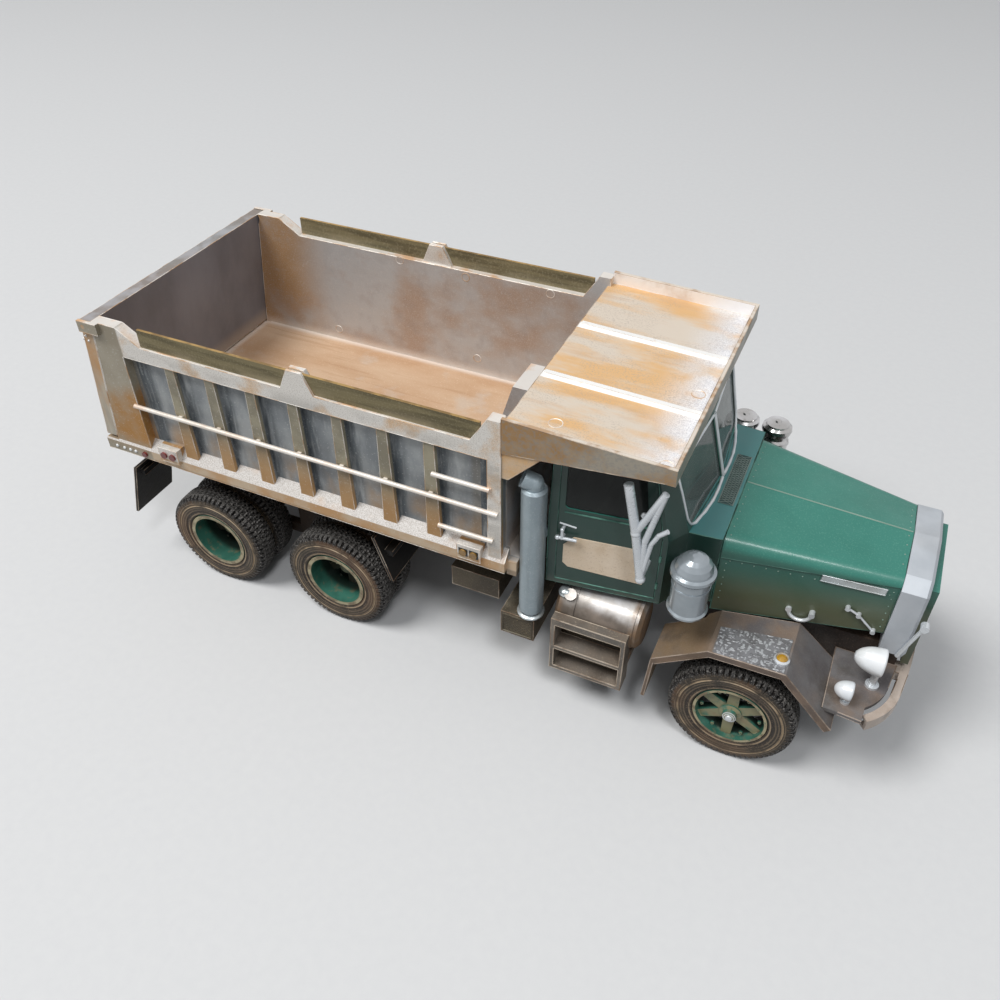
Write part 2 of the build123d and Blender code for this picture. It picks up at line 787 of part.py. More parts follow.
# ================================================================ dump body
def gate_line_x(z):
    """x of the tailgate's front face at height z."""
    share = (z - gate_bottom) / (gate_top - gate_bottom)
    rear = gate_rear_bottom_x + share * (gate_rear_top_x - gate_rear_bottom_x)
    return rear + gate_thickness


def bed_floor():
    """Floor plate with a low apron under the tailgate and the opening of the hoist housing."""
    front = bed_front - wall_thickness
    plate = box(bed_rear, front, -wall_inner, wall_inner, floor_top - floor_thickness, floor_top)
    plate -= box(bed_rear, gate_line_x(gate_bottom) + apron_margin, -wall_inner, wall_inner,
                 floor_top - apron_drop, floor_top)
    plate -= box(doghouse_bottom_x, front, -doghouse_half, doghouse_half,
                 floor_top - floor_thickness, floor_top)
    save("bed_floor", plate)


def bed_sills():
    sill_rear = pivot_x + pivot_ear + 2.4
    low = rail_top + rest_gap
    high = bottom_rail_low
    under = floor_top - floor_thickness
    pieces = both(box(sill_rear, sill_front, sill_inner, sill_outer, low, under))
    x = sill_front - cross_sill_width
    while x > pivot_x - cross_sill_width:
        for y0, y1 in ((sill_outer, wall_inner), (-wall_inner, -sill_outer)):
            pieces.append(box(x, x + cross_sill_width, y0, y1, high, under))
        if x < doghouse_bottom_x - cross_sill_width:
            pieces.append(box(x, x + cross_sill_width, -sill_outer, sill_outer, high, under))
        x -= cross_sill_pitch
    tail = box(pivot_x - pivot_ear - 5.0, sill_rear + 1.0, -wall_inner, wall_inner, high + 1.0, under)
    ear = box(pivot_x - pivot_ear, pivot_x + pivot_ear, pivot_ear_inner, pivot_ear_outer, pivot_z, under)
    ear += rod((pivot_x, pivot_ear_inner, pivot_z), (pivot_x, pivot_ear_outer, pivot_z), pivot_ear)
    ear -= rod((pivot_x, pivot_ear_inner - 1, pivot_z), (pivot_x, pivot_ear_outer + 1, pivot_z),
               pivot_radius + running_fit)
    save("bed_sills", fuse(*pieces, tail, *both(ear)))


def rib(x):
    foot = bottom_rail_high + 0.4
    y0 = wall_inner + wall_thickness / 2
    sections = []
    for z, width in ((foot, rib_face_bottom), (top_rail_low, rib_face_top)):
        half = width / 2
        wide = half + rib_flare / 2
        corners = [(x - wide, y0), (x - half, rib_face), (x + half, rib_face), (x + wide, y0)]
        sections.append(Wire.make_polygon([Vector(a, b, z) for a, b in corners]))
    return Solid.make_loft(sections, True)


def bed_sides():
    inner = wall_inner
    outer = wall_inner + wall_thickness
    wall = box(corner_front, bed_front, inner, outer, bottom_rail_low, top_rail_high)
    low_rail = prism([(inner, bottom_rail_low), (bottom_rail_outer, bottom_rail_low),
                      (bottom_rail_outer, bottom_rail_high), (outer, ledge_high), (inner, ledge_high)],
                     bed_rear + 2.0, bed_front + bottom_rail_nose, "x")
    low_rail -= box(bed_rear - 1, gate_line_x(gate_bottom) + rest_gap * 2, inner - 1,
                    bottom_rail_outer + 1, bottom_rail_high + 0.5, ledge_high + 1)
    top_rail = box(corner_front, bed_front, inner, top_rail_outer, top_rail_low, top_rail_high)
    seat = rest_gap
    corner = prism([(gate_line_x(bottom_rail_low) + seat, bottom_rail_low),
                    (corner_front, bottom_rail_low), (corner_front, top_rail_low + 1),
                    (corner_front + 9.0, top_rail_low + 1), (corner_front + 9.0, top_rail_high),
                    (corner_front, corner_top),
                    (gate_line_x(corner_top) + seat, corner_top)], inner, top_rail_outer, "y")
    front_post = prism([(front_post_rear, bottom_rail_high), (bed_front, bottom_rail_high),
                        (bed_front, front_post_top), (bed_front - 4.2, front_post_top),
                        (front_post_rear - 5.4, top_rail_high), (front_post_rear - 5.4, top_rail_low + 1),
                        (front_post_rear, top_rail_low + 1)], inner, top_rail_outer, "y")
    foot_rear, foot_front, head_front, head_rear = mid_post_x
    mid = prism([(foot_rear, top_rail_high), (foot_front, top_rail_high),
                 (head_front, board_top + 0.8), (head_rear, board_top + 0.8)],
                board_inner - 1.6, top_rail_outer, "y")
    pieces = [wall, low_rail, top_rail, corner, front_post, mid]
    for i in range(rib_count):
        pieces.append(rib(rib_first_x + i * rib_pitch))
    for x0, x1, z0, z1 in light_boxes:
        pieces.append(box(x0, x1, inner + 1.0, light_box_face, z0, z1))
    plate_x = gate_pin_x - 2.2
    plate = box(plate_x, gate_pin_x + 6.0, inner + 2.0, top_rail_outer + rest_gap + hinge_plate,
                gate_pin_z - 2.2, gate_pin_z + 2.0)
    plate -= box(plate_x - 1, gate_line_x(gate_top) + seat + 0.2, inner - 1, gate_half + rest_gap,
                 gate_bottom, gate_top + 3)
    plate -= rod((gate_pin_x, gate_half - 1, gate_pin_z), (gate_pin_x, top_rail_outer + 4, gate_pin_z),
                 gate_pin_radius + running_fit)
    pieces.append(plate)
    made = fuse(*pieces)
    made -= rod((gate_pin_x, inner - 1, gate_pin_z), (gate_pin_x, gate_half + rest_gap, gate_pin_z),
                hypot(gate_pin_drop, gate_thickness / 2) + rest_gap)
    made -= box(board_rear, board_front, board_inner, board_outer, top_rail_high, board_top + 3)
    save("bed_sides", both(made))


gate_pin_x = gate_line_x(gate_top - gate_pin_drop) - gate_thickness / 2
gate_pin_z = gate_top - gate_pin_drop


def bed_bars():
    """Round bars that stand off the ribs on short pads."""
    y = top_rail_outer + 0.5
    made = []
    pads = [rib_first_x + i * rib_pitch for i in range(rib_count)]
    for x0, x1, z in side_bars:
        bar = rod((x0, y, z), (x1, y, z), bar_radius)
        for x in pads:
            if x0 + 1 < x < x1 - 1:
                bar += box(x - 0.7, x + 0.7, rib_face, y, z - bar_radius * 0.7, z + bar_radius * 0.7)
        for x in (corner_front - 0.7, front_post_rear + 0.8):
            if x0 < x < x1:
                bar += box(x - 0.6, x + 0.6, top_rail_outer, y, z - bar_radius * 0.7,
                           z + bar_radius * 0.7)
        bar -= box(bed_rear, bed_front + 5, 0, rib_face, z - 3, z + 3)
        bar -= box(front_post_rear, bed_front + 5, 0, top_rail_outer, z - 3, z + 3)
        bar -= box(bed_rear, corner_front, 0, top_rail_outer, z - 3, z + 3)
        made += both(bar)
    save("side_bars", made)


def bed_front_wall():
    """Front wall with the hoist housing that stands into the bed, and the ears of the hoist pin."""
    half = wall_inner
    top = canopy_panel_z(bed_front)
    wall = box(bed_front - wall_thickness, bed_front, -half, half, bottom_rail_low, top - canopy_plate)
    inner_half = doghouse_half - doghouse_wall
    under = floor_top - floor_thickness
    shape = [(doghouse_bottom_x, under), (doghouse_bottom_x, floor_top), (doghouse_top_x, doghouse_top),
             (bed_front - wall_thickness, doghouse_top), (bed_front - wall_thickness, under)]
    hollow = [(doghouse_bottom_x + doghouse_wall, under - 1),
              (doghouse_bottom_x + doghouse_wall, floor_top),
              (doghouse_top_x + doghouse_wall, doghouse_top - doghouse_wall),
              (bed_front + 1, doghouse_top - doghouse_wall), (bed_front + 1, under - 1)]
    house = wall + prism(shape, -doghouse_half, doghouse_half, "y")
    house -= prism(hollow, -inner_half, inner_half, "y")
    house -= box(bed_front - wall_thickness - 1, bed_front + 1, -inner_half, inner_half,
                 bottom_rail_low - 1, under)
    ear_half = hoist_pin_radius + hoist_pin_play + 1.3
    ear = box(hoist_x - ear_half, hoist_x + ear_half, ear_inner, ear_inner + ear_thickness,
              hoist_pin_z - ear_half + 0.6, doghouse_top - doghouse_wall)
    ear -= rod((hoist_x, 0, hoist_pin_z), (hoist_x, doghouse_half, hoist_pin_z),
               hoist_pin_radius + hoist_pin_play)
    sill = box(bed_front, bed_front + front_sill, inner_half + 1, front_sill_half,
               front_sill_low, front_sill_high)
    sill -= box(bed_front, bed_front + bottom_rail_nose, wall_inner, bottom_rail_outer, 0, corner_top)
    save("bed_front", fuse(house, *both(ear), *both(sill)))


def canopy_panel_z(x):
    share = (x - bed_front) / (canopy_front - bed_front)
    return canopy_rear_top + share * (canopy_front_top - canopy_rear_top) - canopy_recess


def canopy():
    y0, y1 = canopy_half - canopy_plate, canopy_half
    rear_x = bed_front
    rear_low = canopy_kink_z + (canopy_kink_z - canopy_front_low) \
        * (canopy_kink_x - rear_x) / (canopy_front - canopy_kink_x)
    side = prism([(rear_x, canopy_rear_top), (canopy_front, canopy_front_top),
                  (canopy_front, canopy_front_low), (rear_x, rear_low)], y0, y1, "y")
    side += prism([(rear_x, rear_low), (canopy_kink_x, canopy_kink_z), (canopy_foot_x, canopy_side_low),
                   (rear_x, canopy_side_low)], y0, y1 - gusset_inset, "y")
    za, zb = canopy_panel_z(rear_x), canopy_panel_z(canopy_front)
    start = bed_front - wall_thickness
    panel = prism([(start, za), (rear_x, za), (canopy_front, zb), (canopy_front, zb - canopy_plate),
                   (rear_x, za - canopy_plate), (start, za - canopy_plate)], -wall_inner, wall_inner, "y")
    edge = prism([(rear_x, za), (canopy_front, zb), (canopy_front, zb - canopy_plate),
                  (rear_x, za - canopy_plate)], wall_inner, y1, "y")
    lip = box(canopy_front - canopy_plate, canopy_front, -y1, y1, canopy_front_low, canopy_front_top)
    pieces = [*both(side), panel, *both(edge), lip]
    for y in (-ridge_y, ridge_y):
        section = [(y - ridge_width / 2, 0), (y - ridge_width / 4, ridge_height),
                   (y + ridge_width / 4, ridge_height), (y + ridge_width / 2, 0)]
        wires = []
        for x in (rear_x, canopy_front - canopy_plate):
            z = canopy_panel_z(x)
            wires.append(Wire.make_polygon([Vector(x, a, z + b - (0.2 if b == 0 else 0))
                                            for a, b in section]))
        pieces.append(Solid.make_loft(wires, True))
    save("canopy", fuse(*pieces))


def side_boards():
    board = box(board_rear, board_front, board_inner, board_outer, top_rail_high, board_top)
    save("side_boards", both(board))


def tailgate():
    front_top = gate_rear_top_x + gate_thickness
    front_bottom = gate_rear_bottom_x + gate_thickness
    slab = prism([(front_bottom, gate_bottom), (front_top, gate_top), (gate_rear_top_x, gate_top),
                  (gate_rear_bottom_x, gate_bottom)], -gate_half, gate_half, "y")
    ribs_y = (-24.0, 0.0, 24.0)
    border = 4.6
    edges = [-gate_half + border, *[y for y in ribs_y], gate_half - border]
    recess_low = gate_bottom + border
    recess_high = gate_top - border
    for a, b in zip(edges[:-1], edges[1:]):
        y0 = a + (1.6 if a in ribs_y else 0)
        y1 = b - (1.6 if b in ribs_y else 0)

        def rear_x(z, inset=0.0):
            return gate_line_x(z) - gate_thickness + inset
        depth = gate_thickness - gate_sheet
        pocket = prism([(rear_x(recess_low) - 1, recess_low), (rear_x(recess_high) - 1, recess_high),
                        (rear_x(recess_high, depth), recess_high), (rear_x(recess_low, depth), recess_low)],
                       y0, y1, "y")
        slab -= pocket
    reach = top_rail_outer + rest_gap + hinge_plate
    pin = rod((gate_pin_x, -reach, gate_pin_z), (gate_pin_x, reach, gate_pin_z), gate_pin_radius)
    save("tailgate", slab + pin)


def bed_lamps():
    """Round lamps in the light boxes and on the rear of the bottom rail."""
    red, amber = [], []
    (r0, r1, rz0, rz1), (a0, a1, az0, az1) = light_boxes
    for store, x0, x1, z0, z1 in ((red, r0, r1, rz0, rz1), (amber, a0, a1, az0, az1)):
        middle = (z0 + z1) / 2
        for share in (0.28, 0.72):
            x = x0 + share * (x1 - x0)
            store += both(rod((x, light_box_face, middle), (x, light_box_face + box_lamp_depth, middle),
                              box_lamp_radius))
    x, z, radius, depth = tail_lamp
    red += both(rod((x, bottom_rail_outer, z), (x, bottom_rail_outer + depth, z), radius))
    save("bed_lamps_red", red)
    save("bed_lamps_amber", amber)


# ================================================================ hoist
def hoist_radius(stage):
    """Outer radius of a stage: 0 is the barrel, 3 the plunger."""
    return hoist_barrel_radius - stage * (hoist_wall + running_fit)


def hoist():
    low = hoist_base_z - hoist_foot
    top = hoist_barrel_top
    for stage, name in enumerate(("hoist_barrel", "hoist_stage_1", "hoist_stage_2", "hoist_plunger")):
        radius = hoist_radius(stage)
        z0 = low + stage * (hoist_floor + rest_gap)
        z1 = top + stage * hoist_collar_step
        body = rod((hoist_x, 0, z0), (hoist_x, 0, z1), radius)
        if stage < 3:
            body -= rod((hoist_x, 0, z0 + hoist_floor), (hoist_x, 0, z1 + 1), radius - hoist_wall)
        if stage == 0:
            reach = rail_outer - rail_web - 1.4
            for side in (1, -1):
                body += rod((hoist_x, side * (radius - 0.4), hoist_base_z),
                            (hoist_x, side * reach, hoist_base_z), trunnion_radius)
        if stage == 3:
            half = hoist_eye_width / 2
            body += rod((hoist_x, -half, hoist_pin_z), (hoist_x, half, hoist_pin_z), hoist_eye_radius)
            body += box(hoist_x - 1.9, hoist_x + 1.9, -half, half, z1 - 0.1, hoist_pin_z)
            reach = ear_inner + ear_thickness + 0.4
            body += rod((hoist_x, -reach, hoist_pin_z), (hoist_x, reach, hoist_pin_z), hoist_pin_radius)
        save(name, body)


# ================================================================ cab
def cab_outline(inset, level):
    """Plan of the greenhouse at the waist (level 0) or the eave (level 1), moved in by inset."""
    pick = 2 * level
    points = []
    for i, row in enumerate(cab_plan):
        x, half = row[pick], row[pick + 1]
        points.append((x + inset if i == 0 else x - inset * (0.3 if i == 1 else 0.9), half - inset))
    nose = (cab_nose_x, cab_nose_eave_x)[level] - inset * 1.05
    return points + [(nose, 0.0)]


def plan_wire(points, z):
    return Wire.make_polygon([Vector(x, y, z) for x, y in symmetric(points)])


def greenhouse(inset):
    low = plan_wire(cab_outline(inset, 0), cab_waist)
    high = plan_wire(cab_outline(inset, 1), cab_eave)
    return Solid.make_loft([low, high], True)


def tub(inset, low, high):
    """Lower body of the cab with the cowl that runs forward to the bonnet."""
    points = cab_outline(inset, 0)[:-1] + [(cowl_x - inset, cowl_half - inset)]
    return prism(symmetric(points), low, high, "z")


def roof(inset, rise):
    low = plan_wire(cab_outline(inset, 1), cab_eave)
    high = plan_wire(cab_outline(inset + 3.5, 1), cab_eave + rise)
    return Solid.make_loft([low, high], True)


def rounded(points, corners):
    """Face of a polygon in space whose corners get the given radii; 0 leaves one sharp."""
    face = Face(Wire.make_polygon([Vector(*p) for p in points]))
    for point, radius in zip(points, corners):
        if radius:
            nearest = face.vertices().sort_by_distance(Vector(*point))[0]
            face = face.fillet_2d(radius, [nearest])
    return face


def screen_edge(z):
    """Half width at height z of the outer edge of a windscreen pane."""
    low_half, high_half = cab_plan[2][1], cab_plan[2][3]
    share = (z - cab_waist) / (cab_eave - cab_waist)
    return low_half + share * (high_half - low_half) - screen_border


def window_cutters():
    """Openings of the side windows, the two windscreen panes and the rear window."""
    inner, outer = side_cut
    outline = [(window_rear_x, inner, window_low), (window_front_low_x, inner, window_low),
               (window_front_high_x, inner, window_high), (window_rear_x, inner, window_high)]
    side = Solid.extrude(rounded(outline, [window_corner] * 4), Vector(0, outer - inner, 0))
    low = cab_waist + screen_sill
    high = cab_eave - screen_header
    start, end = screen_cut
    outline = [(start, screen_post, low), (start, screen_edge(low), low),
               (start, screen_edge(high), high), (start, screen_post, high)]
    screen = Solid.extrude(rounded(outline, [0, screen_low_corner, screen_high_corner, 0]),
                           Vector(end - start, 0, 0))
    rear = box(cab_rear_x - 2, cab_rear_x + 3, -rear_window_half, rear_window_half,
               low + rear_window_sill, high - rear_window_header)
    return both(side), both(screen), rear


def door_panel(gap):
    """Block that holds a door, drawn in by gap all round."""
    rear, front = door_rear_x + gap, door_front_x - gap
    high = door_top - gap
    return prism([(rear, door_bottom + gap), (front, door_bottom + gap), (front, cab_waist + door_kink),
                  (door_front_high_x - gap, high), (rear, high)], *side_cut, "y")


def cab():
    solid = fuse(tub(0, cab_bottom, cab_waist), greenhouse(0), roof(0, cab_roof - cab_eave))
    hollow = fuse(tub(cab_wall, cab_bottom - 1, cab_waist - cab_wall), greenhouse(cab_wall),
                  roof(cab_wall, cab_roof - cab_eave - cab_wall),
                  prism(symmetric(cab_outline(cab_wall, 0)), cab_waist - cab_wall, cab_waist, "z"))
    shell = solid - hollow
    sides, screens, rear = window_cutters()
    layer = greenhouse(glass_depth) - greenhouse(glass_depth + glass_thickness)
    for cutter in (*sides, *screens, rear):
        shell -= cutter
    panes = [layer & cutter for cutter in (*sides, *screens, rear)]
    save("doors", [shell & fit for fit in both(door_panel(seam))])
    for cut in both(door_panel(0)):
        shell -= cut
    save("cab_shell", shell)
    save("cab_glass", panes)
    save("cab_floor", tub(cab_wall, cab_bottom, cab_bottom + floor_sheet))


def cab_inside():
    """Bench seat, dashboard on its post, and the steering wheel on its column."""
    floor = cab_bottom + floor_sheet
    foot_x, top_x = seat_rear_x
    rest_x, rest_top_x = seat_back_x
    seat = prism([(foot_x, floor), (seat_front_x, floor), (seat_front_x, seat_high), (rest_x, seat_high),
                  (rest_top_x, seat_back_high), (top_x, seat_back_high)], -seat_half, seat_half, "y")
    save("seat", seat)
    dash = prism(list(dash_line), -dash_half, dash_half, "y")
    dash += box(dash_post_rear_x, dash_line[0][0], -dash_post_half, dash_post_half, floor,
                dash_line[0][1] + 1.0)
    save("dashboard", dash)
    foot = Vector(column_foot_x, column_y, floor)
    head = Vector(column_head[0], column_y, column_head[1])
    lean = degrees(atan2(foot.X - head.X, head.Z - foot.Z))
    place = Pos(*head) * Rot(0, -lean, 0)
    column = rod(foot, head, column_radius) - dash
    wheel = place * Torus(steering_ring, steering_grip)
    hub = place * Cylinder(steering_hub, 2 * steering_grip)
    for i in range(3):
        spoke = Box(steering_ring, steering_grip * 1.5, steering_grip * 0.8)
        hub += place * Rot(0, 0, 120 * i) * Pos(steering_ring / 2, 0, 0) * spoke
    under = box(foot.X - 4, foot.X + 4, column_y - 4, column_y + 4, cab_bottom - 2, floor)
    save("steering_wheel", fuse(wheel, hub, column) - under)


# ================================================================ bonnet and radiator
def hood_section(x, half, low, top, shoulder, crown):
    """Closed section of the bonnet: straight sides, rounded shoulders, slightly crowned top."""
    bend = shoulder * (1 - sqrt(0.5))
    left = [
        Line((x, half, low), (x, half, top - shoulder)),
        ThreePointArc((x, half, top - shoulder), (x, half - bend, top - bend),
                      (x, half - shoulder, top)),
        Line((x, half - shoulder, top), (x, 0, top + crown)),
    ]
    right = [
        Line((x, 0, top + crown), (x, -half + shoulder, top)),
        ThreePointArc((x, -half + shoulder, top), (x, -half + bend, top - bend),
                      (x, -half, top - shoulder)),
        Line((x, -half, top - shoulder), (x, -half, low)),
        Line((x, -half, low), (x, half, low)),
    ]
    return Wire([piece.edge() for piece in left + right])


def hood_body(inset, drop):
    a = hood_section(cowl_x + seam, hood_rear_half - inset, hood_rear_low - drop, hood_rear_top - inset,
                     hood_shoulder_rear - inset, hood_crown_rear)
    b = hood_section(hood_front_x, hood_front_half - inset, hood_front_low - drop,
                     hood_front_top - inset, hood_shoulder_front - inset, hood_crown_front)
    return Solid.make_loft([a, b], True)


def hood():
    """Top with rounded shoulders over side panels that are set in."""
    reach = hood_rear_half + 5
    above = box(cowl_x, hood_front_x + 1, -reach, reach, hood_panel_top, hood_rear_top + 5)
    below = box(cowl_x, hood_front_x + 1, -reach, reach, rail_bottom, hood_panel_top)
    outside = (hood_body(0, 0) & above) + (hood_body(hood_panel_inset, 0) & below)
    save("hood", outside - hood_body(hood_skin, 2.0))


def radiator():
    half, low, top, bevel = shell_half, shell_low, shell_top, shell_bevel
    rear_x = hood_front_x + 0.1
    outline = [(half, low), (half, top - bevel), (half - bevel, top), (0, top + shell_crown),
               (-half + bevel, top), (-half, top - bevel), (-half, low)]
    shell = prism(outline, rear_x, shell_front_x, "x")
    shell = chamfer(shell.faces().sort_by(Axis.X)[-1].edges(), shell_edge)
    border = shell_border
    shell -= prism([(half - border, low - 1), (half - border, top - border - 2.0),
                    (-half + border, top - border - 2.0), (-half + border, low - 1)],
                   rear_x - 1, shell_front_x + 1, "x")
    foot = box(rear_x, shell_front_x - 1.5, rail_outer - rail_flange, half - border + 2.0,
               rail_top, low + 2.0)
    save("radiator_shell", fuse(shell, *both(foot)))
    x0 = shell_front_x
    core = box(rear_x + 1.0, shell_front_x - 3.2, -half + border, half - border, low + 2.0,
               top - border - 2.0)
    save("radiator_core", core)
    frame_width = 1.6
    grille = box(x0, x0 + grille_depth, -grille_half, grille_half, grille_low, grille_top)
    grille -= box(x0 - 1, x0 + grille_depth + 1, -grille_half + frame_width, grille_half - frame_width,
                  grille_low + frame_width, grille_top - frame_width)
    pitch = 2 * (grille_half - frame_width) / (grille_slats + 1)
    for i in range(grille_slats):
        y = -grille_half + frame_width + pitch * (i + 1)
        grille += box(x0 + 0.6, x0 + grille_depth - 0.4, y - 0.4, y + 0.4,
                      grille_low + frame_width - 0.2, grille_top - frame_width + 0.2)
    bracket_y = rail_outer - rail_flange - rest_gap
    bracket = box(crossmember_x[-1] + crossmember_width / 2, x0, bracket_y - 2.4, bracket_y,
                  grille_low + 0.6, grille_low + 3.6)
    grille = fuse(grille, *both(bracket))
    save("radiator_grille", grille)


# ================================================================ fenders, bumper, lamps
def fender_inner_line(x):
    """Half width of the bonnet side at x, with a little air."""
    share = (x - cowl_x) / (hood_front_x - cowl_x)
    return hood_rear_half + share * (hood_front_half - hood_rear_half) + rest_gap


def fenders():
    sheet = prism(list(band(fender_line, fender_sheet)), rail_outer, fender_outer, "y")
    lip = prism(list(band(fender_line[1:], fender_lip)), fender_outer - fender_sheet, fender_outer, "y")
    made = fuse(sheet, lip)
    x0, x1 = fender_line[0][0] - fender_lip, fender_line[-1][0] + fender_lip
    inner = fender_inner_line(cowl_x)
    keep = prism([(x0, inner + fender_cowl_gap), (cowl_x, inner + fender_cowl_gap), (cowl_x + 0.5, inner),
                  (x1, fender_inner_line(x1)), (x1, fender_outer + 1), (x0, fender_outer + 1)],
                 0, cab_waist, "z")
    made = fuse(made & keep, front_deck())
    save("fenders", both(made))


def bumper_curve(inset, end_angle):
    """Arcs of the bumper in plan, moved in by inset: middle, join, end arc's middle and end."""
    turn = degrees(asin(bumper_join_y / bumper_radius))
    centre = (bumper_front_x - bumper_radius, 0.0)
    reach = bumper_radius - bumper_end_radius
    end_centre = (centre[0] + reach * cos(radians(turn)), reach * sin(radians(turn)))
    points = [(centre[0] + bumper_radius - inset, 0.0)]
    for middle, radius, angle in (
        (centre, bumper_radius, turn),
        (end_centre, bumper_end_radius, (turn + end_angle) / 2),
        (end_centre, bumper_end_radius, end_angle),
    ):
        points.append((middle[0] + (radius - inset) * cos(radians(angle)),
                       middle[1] + (radius - inset) * sin(radians(angle))))
    return points


def bumper_edges(inset, end_angle, z):
    """The same arcs as edges, from the right end to the left end."""
    middle, join, bend, end = [Vector(x, y, z) for x, y in bumper_curve(inset, end_angle)]
    far_join, far_bend, far_end = [Vector(p.X, -p.Y, z) for p in (join, bend, end)]
    return [ThreePointArc(far_end, far_bend, far_join), ThreePointArc(far_join, middle, join),
            ThreePointArc(join, bend, end)]


def bumper_band(depth, low, high):
    outer = bumper_edges(0, bumper_end_angle, low)
    inner = bumper_edges(depth, bumper_end_angle, low)
    ends = [Line(outer[0] @ 0, inner[0] @ 0), Line(outer[-1] @ 1, inner[-1] @ 1)]
    wire = Wire([piece.edge() for piece in outer + inner + ends])
    return Solid.extrude(Face(wire), Vector(0, 0, high - low))


def bumper():
    """Curved channel: a face with a flange along its top and its bottom, on two arms."""
    bar = bumper_band(bumper_sheet, bumper_low, bumper_high)
    bar += bumper_band(bumper_flange, bumper_high - bumper_sheet, bumper_high)
    bar += bumper_band(bumper_flange, bumper_low, bumper_low + bumper_sheet)
    front_x = bumper_front_x - 1.6
    arm = box(frame_front - bumper_arm, frame_front, rail_outer, rail_outer + bumper_arm_sheet,
              bumper_low + 0.5, bumper_high - 0.2)
    arm += box(frame_front, front_x, rail_outer - rail_flange, rail_outer + bumper_arm_sheet,
               bumper_low + 0.5, bumper_high - 0.2)
    save("bumper", fuse(bar, *both(arm)))


def front_deck():
    """Flat plate from the foot of a fender forward, its edge concentric with the bumper."""
    inner = rail_outer + 0.2
    middle, join, bend, end = bumper_curve(deck_inset, deck_end_angle)
    radius = bumper_radius - deck_inset
    start = (bumper_front_x - bumper_radius + sqrt(radius ** 2 - inner ** 2), inner)
    edges = [
        Line((deck_rear_x, inner), start),
        Line(start, join),
        ThreePointArc(join, bend, end),
        Polyline(end, (deck_ear_x, deck_ear_half), (deck_ear_x - 7.0, deck_half),
                 (deck_rear_x, deck_half), (deck_rear_x, inner)),
    ]
    face = Pos(0, 0, bumper_high) * make_face(edges)
    return Solid.extrude(face.faces()[0], Vector(0, 0, deck_thickness))


def lamps():
    """Egg-shaped lamps on the deck: headlamps and small marker lamps."""
    deck_top = bumper_high + deck_thickness
    housings, lenses = [], []
    for x, y, z, radius, length, foot_shift in lamp_table:
        back = -length + 1.2
        profile = [(-length, 0), (-length + 0.2, radius * 0.3), (back * 0.86, radius * 0.6),
                   (back * 0.6, radius * 0.86), (back * 0.3, radius * 0.98), (-0.9, radius),
                   (0, radius * 0.9), (0, 0)]
        place, ahead = (x, y, z), (1, 0, 0)
        shell = turned(profile, place, ahead)
        shell -= turned([(-1.2, 0), (-0.8, radius * 0.8), (1, radius * 0.8), (1, 0)], place, ahead)
        foot_x = x + foot_shift
        foot = rod((foot_x, y, deck_top), (foot_x, y, z - radius * 0.5), radius * 0.26)
        foot += rod((foot_x, y, deck_top), (foot_x, y, deck_top + 0.9), radius * 0.48)
        foot -= turned([(-1.2, 0), (-0.8, radius * 0.8), (3, radius * 0.8), (3, 0)], place, ahead)
        housings += both(fuse(shell, foot))
        lens = turned([(-1.2, 0), (-0.8, radius * 0.8), (-0.1, radius * 0.8), (0.3, radius * 0.45),
                       (0.5, 0)], place, ahead)
        lenses += both(lens)
    (x0, z0), (x1, z1) = fender_line[2:4]
    rise = (z1 - z0) / (x1 - x0)
    place = (marker_x, marker_y, z0 + (marker_x - x0) * rise)
    upright = (-rise, 0, 1)
    rim = marker_radius
    ring = [(0, 0), (0, rim), (marker_height * 0.6, rim), (marker_height, rim * 0.8),
            (marker_height * 0.5, rim * 0.72), (marker_height * 0.5, 0)]
    inside = rim * 0.72 - rest_gap / 3
    dome = [(marker_height * 0.5, 0), (marker_height * 0.5, inside), (marker_height * 0.8, inside),
            (marker_height * 1.2, inside * 0.6), (marker_height * 1.3, 0)]
    housings += both(turned(ring, place, upright))
    lenses += both(turned(dome, place, upright))
    save("headlamps", housings)
    save("lamp_lenses", lenses)


